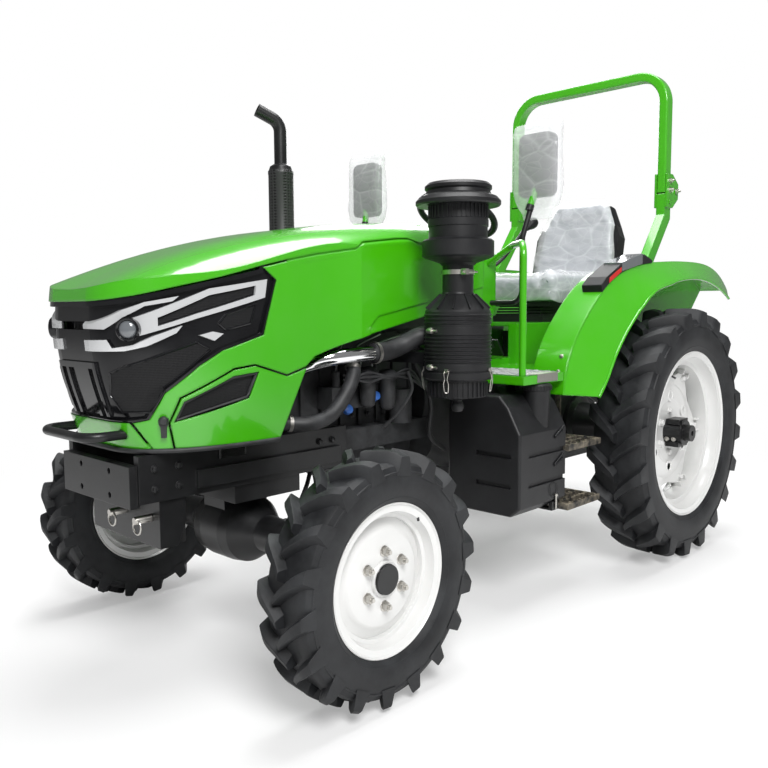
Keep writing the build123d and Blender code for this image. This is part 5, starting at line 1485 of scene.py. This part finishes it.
# Station, mirrors, front and rear fittings
class TRACTOR_OT_mirrors(bpy.types.Operator):
    """Add mirror glass, arm sleeves and the clear bags"""
    bl_idname = "tractor.mirrors"
    bl_label = "Mirrors"

    def execute(self, context):
        for side, sign in SIDES:
            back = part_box("mirror_" + side)[0].x
            centre = Vector((back + 0.017, 0.48 * sign, 1.725))
            bm = bmesh.new()
            middle = (centre.y, centre.z)
            add_outline(bm, rounded_box(0.138, 0.226, 0.026, middle), back - 0.003, back + 0.004, "X")
            piece_from(bm, "Mirror_glass_" + side, "mirror", bevel=0.001)
            bm = bmesh.new()
            front = back + 0.034
            add_outline(bm, rounded_box(0.130, 0.216, 0.03, middle), front - 0.004, front + 0.008, "X")
            add_outline(bm, rounded_box(0.060, 0.090, 0.01, middle), front, front + 0.016, "X")
            piece_from(bm, "Mirror_shell_" + side, "plastic", bevel=0.005, segments=3)
            self.make_sleeve(side, sign)
            self.make_bag(side, centre)
        return {"FINISHED"}

    def make_sleeve(self, side, sign):
        """Green upper sleeve of the mirror arm with its clamp."""
        low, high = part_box("mirror_" + side)
        foot = Vector((high.x - 0.011, 0.45 * sign, 1.47))
        head = Vector((low.x + 0.012, 0.488 * sign, 1.685))
        bm = bmesh.new()
        add_tube(bm, (foot.lerp(head, 0.42), foot.lerp(head, 1.06)), 0.0145, 20, 6)
        piece_from(bm, "Mirror_sleeve_" + side, "green")
        bm = bmesh.new()
        add_tube(bm, (foot.lerp(head, 0.36), foot.lerp(head, 0.46)), 0.0165, 20, 3)
        piece_from(bm, "Mirror_clamp_" + side, "plastic")

    def make_bag(self, side, centre):
        """Creased clear bag over the mirror, gathered round its arm."""
        bm = bmesh.new()
        rings = []
        segments = 56
        levels = (
            (1.893, 0.004, 0.100), (1.885, 0.014, 0.106), (1.862, 0.032, 0.106), (1.80, 0.040, 0.104),
            (1.72, 0.042, 0.106), (1.64, 0.040, 0.108), (1.595, 0.034, 0.104), (1.565, 0.028, 0.090),
            (1.535, 0.022, 0.066), (1.515, 0.024, 0.060))
        for z, deep, wide in levels:
            ring = []
            for step in range(segments):
                turn = 2 * math.pi * step / segments
                c, s = math.cos(turn), math.sin(turn)
                spot = Vector((centre.x + deep * math.copysign(abs(c) ** 0.6, c),
                               centre.y + wide * math.copysign(abs(s) ** 0.45, s), z))
                fold = noise.noise(spot * 11.0) + 0.4 * abs(noise.noise(spot * 26.0))
                spot += Vector((c, s, 0.3)) * 0.007 * fold
                ring.append(bm.verts.new(spot))
            rings.append(ring)
        for low, high in zip(rings, rings[1:]):
            bridge(bm, low, high)
        area = sum(face.calc_area() for face in bm.faces)
        obj = piece_from(bm, "Mirror_bag_" + side, "film", angle=80)


class TRACTOR_OT_station(bpy.types.Operator):
    """Dress the driver's station: floor plate, steps, wheel, gauges, stalks, pedals and side lever"""
    bl_idname = "tractor.station"
    bl_label = "Driver's station"

    def execute(self, context):
        self.make_floor_plate()
        self.make_wheel_trim()
        self.make_dash()
        self.make_pedals()
        self.make_side_lever()
        return {"FINISHED"}

    def make_side_lever(self):
        """Bent lever with a ball knob beside the wheel."""
        bm = bmesh.new()
        path = rear_run(
            (0.875, 0.235, 1.300), (0.800, 0.280, 1.360), (0.727, 0.300, 1.436), (0.660, 0.300, 1.494),
            (0.600, 0.300, 1.526))
        add_tube(bm, path, 0.0075, 14, 8)
        aim = Vector((-0.82, 0, 0.57))
        add_capped_lathe(bm, (
            (0.009, -0.045), (0.013, -0.030), (0.019, -0.018), (0.024, -0.004), (0.0255, 0.008),
            (0.023, 0.019), (0.016, 0.028), (0.006, 0.033)), facing(path[-1], aim), 28)
        piece_from(bm, "Side_lever", "plastic", angle=60)

    def make_floor_plate(self):
        """Tread plate on the floor and grip teeth on the steps."""
        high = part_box("platform")[1]
        floor = FLOOR_LEVEL
        bm = bmesh.new()
        for sign in (-1, 1):
            near, far = sorted((0.205 * sign, 0.602 * sign))
            add_block(bm, (high.x - 0.275, near, floor - 0.0005), (high.x - 0.020, far, floor + 0.002))
            for row in range(9):
                for column in range(14):
                    spot = Vector((
                        high.x - 0.262 + 0.028 * row, near + 0.016 + 0.028 * column, floor + 0.0025))
                    turn = math.pi / 4 if (row + column) % 2 else -math.pi / 4
                    place = Matrix.Translation(spot) @ Matrix.Rotation(turn, 4, "Z")
                    add_box(bm, place, (0.020, 0.005, 0.003))
        piece_from(bm, "Floor_plate", "satin_steel", bevel=0.0008, segments=1)
        bm = bmesh.new()
        for sign in (-1, 1):
            near, far = sorted((0.6195 * sign, 0.6225 * sign))
            add_block(bm, (high.x - 0.235, near, 0.875), (high.x - 0.090, far, 0.9065))
            near, far = sorted((0.560 * sign, 0.6225 * sign))
            add_block(bm, (high.x - 0.235, near, 0.9045), (high.x - 0.090, far, 0.9080))
        piece_from(bm, "Edge_plates", "zinc", bevel=0.0008, segments=1)
        low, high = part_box("steps")
        bm = bmesh.new()
        for sign in (-1, 1):
            for z in STEP_LEVELS:
                for row in range(6):
                    for column in range(5):
                        x = low.x + 0.03 + (high.x - low.x - 0.06) * row / 5
                        y = sign * (0.545 - 0.096 + 0.048 * column)
                        add_capped_lathe(bm, ((0.007, z - 0.001), (0.006, z + 0.004), (0.004, z + 0.005)),
                                         Matrix.Translation((x, y, 0)), 10)
        piece_from(bm, "Step_grips", "worn")

    def make_wheel_trim(self):
        """Finger grips and hub cap of the steering wheel."""
        hub = joint_point("steering_wheel_turn")
        tilt = math.radians(28)
        place = Matrix.Translation(hub) @ Matrix.Rotation(-tilt, 4, "Y")
        bm = bmesh.new()
        add_lathe(bm, (
            (0.044, 0.012), (0.044, 0.020), (0.030, 0.027), (0.006, 0.029), (0.006, 0.010)), place, 48)
        for step in range(60):
            turn = 2 * math.pi * step / 60
            spot = place @ Matrix.Rotation(turn, 4, "Z") @ Matrix.Translation((0.163, 0, 0.0))
            bmesh.ops.create_uvsphere(bm, u_segments=8, v_segments=6, radius=0.0055, matrix=spot)
        piece_from(bm, "Steering_wheel_trim", "plastic", "steering_wheel")

    def make_dash(self):
        """Round gauges, and stalks with red ends, on the cowl."""
        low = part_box("cowl")[0]
        hub = joint_point("steering_wheel_turn")
        bm = bmesh.new()
        slope = Vector((-0.88, 0, 0.47)).normalized()
        cowl = skin_of("cowl")
        places = []
        for y, size in ((-0.085, 0.034), (0.0, 0.046), (0.085, 0.034)):
            start = Vector((low.x + 0.012, y, 1.475)) + slope * 0.5
            places.append((size, facing(*on_skin(cowl, start, -slope))))
        for size, place in places:
            add_lathe(bm, ((size, -0.002), (size, 0.006), (size - 0.003, 0.008), (size - 0.006, 0.004),
                           (size - 0.006, -0.002)), place, 40)
        piece_from(bm, "Gauge_rings", "chrome")
        bm = bmesh.new()
        for size, place in places:
            add_capped_lathe(bm, ((size - 0.005, -0.001), (size - 0.005, 0.003)), place, 40)
        piece_from(bm, "Gauge_faces", "gloss")
        bm = bmesh.new()
        for sign, lift in ((1, 0.0), (-1, -0.015)):
            foot = hub + Vector((0.045, 0.02 * sign, -0.085 + lift))
            add_tube(bm, (
                foot, foot + Vector((0.01, 0.06 * sign, 0.012)), foot + Vector((0.0, 0.125 * sign, 0.022))),
                0.005, 10, 6)
        piece_from(bm, "Stalks", "plastic")
        bm = bmesh.new()
        for sign, lift in ((1, 0.0), (-1, -0.015)):
            tip = hub + Vector((0.045, 0.145 * sign, -0.063 + lift))
            add_capped_lathe(bm, ((0.006, -0.014), (0.0095, -0.010), (0.0095, 0.012), (0.006, 0.016)),
                             facing(tip, (0, sign, 0.15)), 20)
        piece_from(bm, "Stalk_ends", "red")

    def make_pedals(self):
        """Clutch and brake pedals under the cowl."""
        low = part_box("cowl")[0]
        bm = bmesh.new()
        for y in (0.19, -0.16, -0.25):
            add_tube(bm, (
                (low.x + 0.05, y, 1.03), (low.x - 0.03, y, 1.06), (low.x - 0.075, y, 1.02),
                (low.x - 0.10, y, 0.985)), 0.009, 12, 6)
            tilt = Matrix.Rotation(math.radians(-55), 4, "Y")
            place = Matrix.Translation((low.x - 0.108, y, 0.985)) @ tilt
            add_box(bm, place, (0.085, 0.072, 0.010))
            for step in range(5):
                rib = place @ Matrix.Translation((-0.032 + 0.016 * step, 0, 0.006))
                add_box(bm, rib, (0.006, 0.066, 0.004))
        piece_from(bm, "Pedals", "black", bevel=0.0012)


class TRACTOR_OT_chassis(bpy.types.Operator):
    """Add bolts, tow pins, fender stays, hoses and couplers to the frame, the axles and the rear"""
    bl_idname = "tractor.chassis"
    bl_label = "Chassis fittings"

    def execute(self, context):
        self.make_frame_bolts()
        self.make_axle_fittings()
        self.make_hitch()
        return {"FINISHED"}

    def make_frame_bolts(self):
        """Bolt heads along the rails, tow pins under the nose plate and the fenders' stays."""
        bm = bmesh.new()
        for sign in (-1, 1):
            for x, z in (
                    (-0.26, 0.70), (-0.26, 0.64), (-0.20, 0.70), (0.36, 0.70), (0.36, 0.64), (0.44, 0.70),
                    (0.44, 0.64)):
                add_hex_bolt(bm, (FRONT_X + x, 0.218 * sign, z), (0, sign, 0), 0.012)
        piece_from(bm, "Frame_bolts", "black")
        bm = bmesh.new()
        for y in (0.005, 0.155):
            spot = Vector((FRONT_X + 0.421, y, 0.54))
            add_capped_lathe(
                bm, ((0.012, 0.0), (0.012, 0.052), (0.010, 0.055)), facing(spot, (1, 0, 0)), 24)
            add_tube(bm, [
                spot + Vector((0.045, 0.022 * math.cos(t), 0.022 * math.sin(t) - 0.02))
                for t in (2 * math.pi * step / 16 for step in range(16))], 0.003, 8, 2, cyclic=True)
        piece_from(bm, "Tow_pins", "zinc")
        for side, sign in SIDES:
            bm = bmesh.new()
            add_tube(bm, [off_rear(x, sign * 0.492, z) for x, z in (
                (0.66, 0.884), (0.50, 0.818), (0.35, 0.750), (0.22, 0.694), (0.09, 0.652))], 0.019, 16, 6)
            for x, z in ((0.60, 0.859), (0.47, 0.805)):
                add_hex_bolt(bm, off_rear(x, sign * 0.510, z), (0, sign, 0), 0.014)
            piece_from(bm, "Fender_stay_" + side, "black")

    def make_axle_fittings(self):
        """Cover bolts on the axle casings and hoses to the steering cylinder."""
        bm = bmesh.new()
        for step in range(10):
            turn = 2 * math.pi * step / 10
            add_hex_bolt(bm, (
                FRONT_X + 0.117 * math.cos(turn) * 0.92, 0.0505, FRONT_Z + 0.03 + 0.10 * math.sin(turn)),
                (0, 1, 0), 0.009)
        for sign in (-1, 1):
            for step in range(6):
                turn = math.pi * (step + 0.5) / 3
                add_hex_bolt(bm, (
                    FRONT_X + 0.045 * math.cos(turn), 0.520 * sign + 0.045 * math.sin(turn),
                    FRONT_Z + 0.130), (0, 0, 1), 0.009)
        piece_from(bm, "Axle_bolts", "black")
        bm = bmesh.new()
        for sign in (-1, 1):
            start = Vector((FRONT_X - 0.142, 0.14 * sign, FRONT_Z + 0.022))
            add_tube(bm, (
                start, start + Vector((-0.02, 0.0, 0.05)), start + Vector((-0.09, -0.03 * sign, 0.12)),
                start + Vector((-0.16, -0.06 * sign, 0.20)), start + Vector((-0.24, -0.02 * sign, 0.26))),
                0.008, 12, 8)
        piece_from(bm, "Steering_hoses", "hose")

    def make_hitch(self):
        """Shaft guard and hydraulic couplers at the rear."""
        bm = bmesh.new()
        outline = [(0.105 * math.cos(t), 0.56 + 0.085 * math.sin(t)) for t in
                   (math.pi * step / 14 for step in range(15))]
        inner = [(y * 0.94, 0.56 + (z - 0.56) * 0.94) for y, z in reversed(outline)]
        add_outline(bm, outline + inner, REAR_X - 0.320, REAR_X - 0.189, "X")
        piece_from(bm, "Shaft_guard", "black", bevel=0.0015)
        bm = bmesh.new()
        for y in (-0.09, -0.045, 0.045, 0.09):
            add_capped_lathe(bm, (
                (0.016, 0.0), (0.016, 0.024), (0.013, 0.026), (0.013, 0.046), (0.009, 0.048)),
                facing((REAR_X - 0.190, y, 0.955), (-1, 0, 0.1)), 20)
        piece_from(bm, "Hydraulic_couplers", "zinc")


class TRACTOR_OT_far_side(bpy.types.Operator):
    """Add the generator, filter and lines on the engine's right, and reflectors at the rear"""
    bl_idname = "tractor.far_side"
    bl_label = "Far side and rear"

    def execute(self, context):
        self.make_generator()
        self.make_lines()
        for side, sign in SIDES:
            self.make_reflector(side, sign)
        return {"FINISHED"}

    def make_generator(self):
        """Generator with cooling slots, pulley and bracket, and a canister filter."""
        low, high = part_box("engine")
        spot = Vector((high.x - 0.20, -0.205, 1.02))
        place = facing(spot, (1, 0, 0))
        bm = bmesh.new()
        add_capped_lathe(bm, (
            (0.030, -0.070), (0.050, -0.064), (0.056, -0.050), (0.056, -0.014), (0.053, -0.012),
            (0.053, 0.012), (0.056, 0.014), (0.056, 0.046), (0.046, 0.060), (0.020, 0.064)), place, 48)
        for shift in (-0.032, 0.031):
            add_ribs(bm, place, 18, (0.0565, 0, shift), (0.004, 0.006, 0.026))
        add_block(bm, spot + Vector((-0.02, -0.006, -0.09)), spot + Vector((0.02, 0.060, -0.045)))
        piece_from(bm, "Generator", "satin_steel", bevel=0.001, segments=1)
        bm = bmesh.new()
        add_lathe(bm, (
            (0.034, 0.068), (0.034, 0.072), (0.027, 0.078), (0.027, 0.082), (0.034, 0.088), (0.034, 0.092),
            (0.010, 0.092), (0.010, 0.068)), place, 40)
        piece_from(bm, "Generator_pulley", "black")
        bm = bmesh.new()
        filter_place = facing((low.x + 0.30, -0.150, 0.80), (0, -1, -0.25))
        add_capped_lathe(bm, (
            (0.036, -0.02), (0.040, 0.0), (0.047, 0.006), (0.047, 0.090), (0.040, 0.104), (0.020, 0.110)),
            filter_place, 40)
        add_ribs(bm, filter_place, 24, (0.0465, 0, 0.084), (0.004, 0.005, 0.022))
        piece_from(bm, "Oil_filter", "plastic", bevel=0.0008, segments=1)

    def make_lines(self):
        """Wires and a clamped coolant hose along the right side."""
        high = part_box("engine")[1]
        bm = bmesh.new()
        runs = (
            ((-0.24, -0.21, 1.05), (-0.30, -0.20, 1.10), (-0.45, -0.17, 1.08), (-0.60, -0.165, 1.12)),
            ((-0.26, -0.20, 1.04), (-0.34, -0.21, 0.98), (-0.44, -0.19, 0.92), (-0.52, -0.165, 0.84)))
        for run in runs:
            add_tube(bm, [Vector((high.x + x, y, z)) for x, y, z in run], 0.006, 10, 8)
        add_tube(bm, [Vector((high.x + x, y, z)) for x, y, z in (
            (-0.06, -0.12, 0.86), (-0.05, -0.19, 0.84), (-0.02, -0.20, 0.83), (0.03, -0.17, 0.82))], 0.021,
            18, 8)
        piece_from(bm, "Right_side_lines", "hose")
        bm = bmesh.new()
        for x, y, z, size in ((-0.055, -0.175, 0.842, 0.0225), (-0.005, -0.193, 0.833, 0.0225)):
            add_lathe(bm, ((size, -0.006), (size + 0.0015, -0.006), (size + 0.0015, 0.006), (size, 0.006)),
                      facing((high.x + x, y, z), (0.8, -0.6, 0.0)), 28)
        piece_from(bm, "Right_side_clamps", "zinc")

    def make_reflector(self, side, sign):
        """Round red reflector on the fender's rear slope."""
        skin = skin_of("fender_" + side)
        tail = min((vertex.co for vertex in NODES["fender_" + side].data.vertices), key=lambda spot: spot.x)
        point, normal = on_skin(skin, (tail.x - 0.5, 0.56 * sign, tail.z + 0.06), (1, 0, 0))
        place = facing(point, normal)
        bm = bmesh.new()
        add_lathe(bm, (
            (0.028, -0.002), (0.034, -0.002), (0.034, 0.006), (0.031, 0.008), (0.028, 0.006)), place, 40)
        piece_from(bm, "Reflector_rim_" + side, "plastic")
        bm = bmesh.new()
        add_capped_lathe(bm, (
            (0.0285, -0.001), (0.0285, 0.005), (0.018, 0.0075), (0.004, 0.008)), place, 40)
        piece_from(bm, "Reflector_" + side, "red", angle=60)


NODE_FINISH = {
    "green_lower": ("nose_skirt", "lower_panel_left", "lower_panel_right"),
    "green": ("hood_top", "hood_side_left", "hood_side_right", "cowl", "platform", "handrails",
              "fender_left", "fender_right", "rops_posts", "rops_hoop"),
    "black": ("front_frame", "guard_bar", "rear_axle", "front_axle", "knuckle_left", "knuckle_right",
              "rear_hub_left", "rear_hub_right", "exhaust", "mirror_left", "mirror_right", "drawbar",
              "lift_arms", "lower_links", "lift_rods", "steering_column"),
    "white": ("front_rim_left", "front_rim_right", "rear_rim_left", "rear_rim_right"),
    "rubber": ("front_tyre_left", "front_tyre_right", "rear_tyre_left", "rear_tyre_right"),
    "worn": ("steps",),
    "cast": ("engine", "gearbox"),
    "plastic": ("radiator", "air_cleaner", "precleaner", "fuel_tank", "battery_box", "fender_lamps",
                "seat_base", "seat_shell", "levers", "steering_wheel"),
    "gloss": ("grille",),
    "silver": ("headlamp_left", "headlamp_right"),
    "chrome": ("steering_rod",),
    "vinyl": ("seat_cushion", "seat_back"),
}


class TRACTOR_OT_finishes(bpy.types.Operator):
    """Make the finishes and give one to every node of the frame"""
    bl_idname = "tractor.finishes"
    bl_label = "Finishes"

    def execute(self, context):
        make_finishes(context.scene.tractor_paint)
        for finish, names in NODE_FINISH.items():
            for name in names:
                obj = NODES[name]
                if not obj.material_slots:
                    obj.data.materials.append(None)
                for slot in obj.material_slots:
                    slot.material = FINISH[finish]
        return {"FINISHED"}


class TRACTOR_OT_stage(bpy.types.Operator):
    """Set up the camera, the floor and the light"""
    bl_idname = "tractor.stage"
    bl_label = "Stage"

    def execute(self, context):
        scene = context.scene
        stage = scene.tractor_stage
        scene.view_settings.view_transform = "Standard"
        level = math.cos(stage.pitch)
        forward = Vector((
            -math.cos(stage.yaw) * level, -math.sin(stage.yaw) * level, -math.sin(stage.pitch)))
        right = forward.cross(Vector((0, 0, 1))).normalized()
        up = right.cross(forward)
        across = math.cos(stage.roll) * right + math.sin(stage.roll) * up
        tall = -math.sin(stage.roll) * right + math.cos(stage.roll) * up
        camera = bpy.data.objects.new("Camera", bpy.data.cameras.new("Camera"))
        camera.data.lens = stage.lens
        camera.data.sensor_width = SENSOR_WIDTH
        camera.data.sensor_fit = "HORIZONTAL"
        camera.data.clip_end = 200.0
        camera.matrix_world = Matrix.Translation(stage.camera_place) @ Matrix(
            (across, tall, -forward)).transposed().to_4x4()
        scene.collection.objects.link(camera)
        scene.camera = camera
        self.make_floor(scene, stage)
        self.make_light(scene)
        return {"FINISHED"}

    def make_floor(self, scene, stage):
        """Round pale floor that fades into the backdrop's white."""
        bm = bmesh.new()
        bmesh.ops.create_circle(bm, cap_ends=True, radius=FLOOR_RADIUS, segments=96)
        mesh = bpy.data.meshes.new("Floor")
        bm.to_mesh(mesh)
        bm.free()
        floor = bpy.data.objects.new("Floor", mesh)
        floor.location.z = -0.001
        material, tree, shader = start_material("Pale floor", Roughness=0.9, Base_Color=stage.floor[:])
        coords = tree.nodes.new("ShaderNodeTexCoord")
        length = tree.nodes.new("ShaderNodeVectorMath")
        length.operation = "LENGTH"
        tree.links.new(coords.outputs["Object"], length.inputs[0])
        fade = tree.nodes.new("ShaderNodeMapRange")
        fade.interpolation_type = "SMOOTHSTEP"
        preset(fade, From_Min=FADE_START, From_Max=FADE_END, To_Min=FADE_LEAST)
        path = tree.nodes.new("ShaderNodeLightPath")
        tree.links.new(length.outputs["Value"], fade.inputs["Value"])
        white = tree.nodes.new("ShaderNodeEmission")
        blend = tree.nodes.new("ShaderNodeMixShader")
        tree.links.new(math_node(
            tree, "MULTIPLY", fade.outputs["Result"], path.outputs["Is Camera Ray"]), blend.inputs[0])
        tree.links.new(shader.outputs[0], blend.inputs[1])
        tree.links.new(white.outputs[0], blend.inputs[2])
        tree.links.new(blend.outputs[0], tree.nodes["Material Output"].inputs["Surface"])
        mesh.materials.append(material)
        scene.collection.objects.link(floor)

    def make_light(self, scene):
        """White world for the eye, softer for the light, with three soft boxes."""
        world = bpy.data.worlds.new("Studio")
        world.use_nodes = True
        scene.world = world
        tree = world.node_tree
        ground = tree.nodes["Background"]
        path = tree.nodes.new("ShaderNodeLightPath")
        seen = math_node(
            tree, "MAXIMUM", path.outputs["Is Camera Ray"], path.outputs["Is Transmission Ray"])
        level = math_node(tree, "MULTIPLY_ADD", seen, 1.0 - WORLD_LIGHT)
        level.node.inputs[2].default_value = WORLD_LIGHT
        tree.links.new(level, ground.inputs["Strength"])
        preset(ground, Color=(1, 1, 1))
        for name, spot, aim, size, power in LAMPS:
            lamp = bpy.data.lights.new(name, "AREA")
            lamp.shape = "DISK"
            lamp.size = size
            lamp.energy = power
            obj = bpy.data.objects.new(name, lamp)
            obj.matrix_world = facing(spot, Vector(spot) - Vector(aim))
            scene.collection.objects.link(obj)


class TRACTOR_PT_panel(bpy.types.Panel):
    """Lists the steps that dress the tractor"""
    bl_idname = "TRACTOR_PT_panel"
    bl_label = "Farm tractor"
    bl_space_type = "VIEW_3D"
    bl_region_type = "UI"
    bl_category = "Tractor"

    def draw(self, context):
        for step in STEPS:
            self.layout.operator(step.bl_idname)


STEPS = (
    TRACTOR_OT_stage, TRACTOR_OT_finishes, TRACTOR_OT_tyres, TRACTOR_OT_rims, TRACTOR_OT_nose,
    TRACTOR_OT_intake, TRACTOR_OT_roll_bar, TRACTOR_OT_seat, TRACTOR_OT_engine, TRACTOR_OT_tank,
    TRACTOR_OT_fenders, TRACTOR_OT_mirrors, TRACTOR_OT_station, TRACTOR_OT_chassis, TRACTOR_OT_far_side)
GROUP_CLASSES = (TractorStage, TractorPaint, TractorWheels)


def register():
    """Register the property groups, the operators and the panel."""
    for cls in GROUP_CLASSES + STEPS + (TRACTOR_PT_panel,):
        bpy.utils.register_class(cls)
    bpy.types.Scene.tractor_stage = PointerProperty(type=TractorStage)
    bpy.types.Scene.tractor_paint = PointerProperty(type=TractorPaint)
    bpy.types.Scene.tractor_wheels = PointerProperty(type=TractorWheels)


def unregister():
    """Take back what register added."""
    del bpy.types.Scene.tractor_wheels
    del bpy.types.Scene.tractor_paint
    del bpy.types.Scene.tractor_stage
    for cls in reversed(GROUP_CLASSES + STEPS + (TRACTOR_PT_panel,)):
        bpy.utils.unregister_class(cls)


def main():
    """Dress the tractor step by step."""
    register()
    for step in STEPS:
        area, action = step.bl_idname.split(".")
        getattr(getattr(bpy.ops, area), action)()


if __name__ == "__main__":
    main()
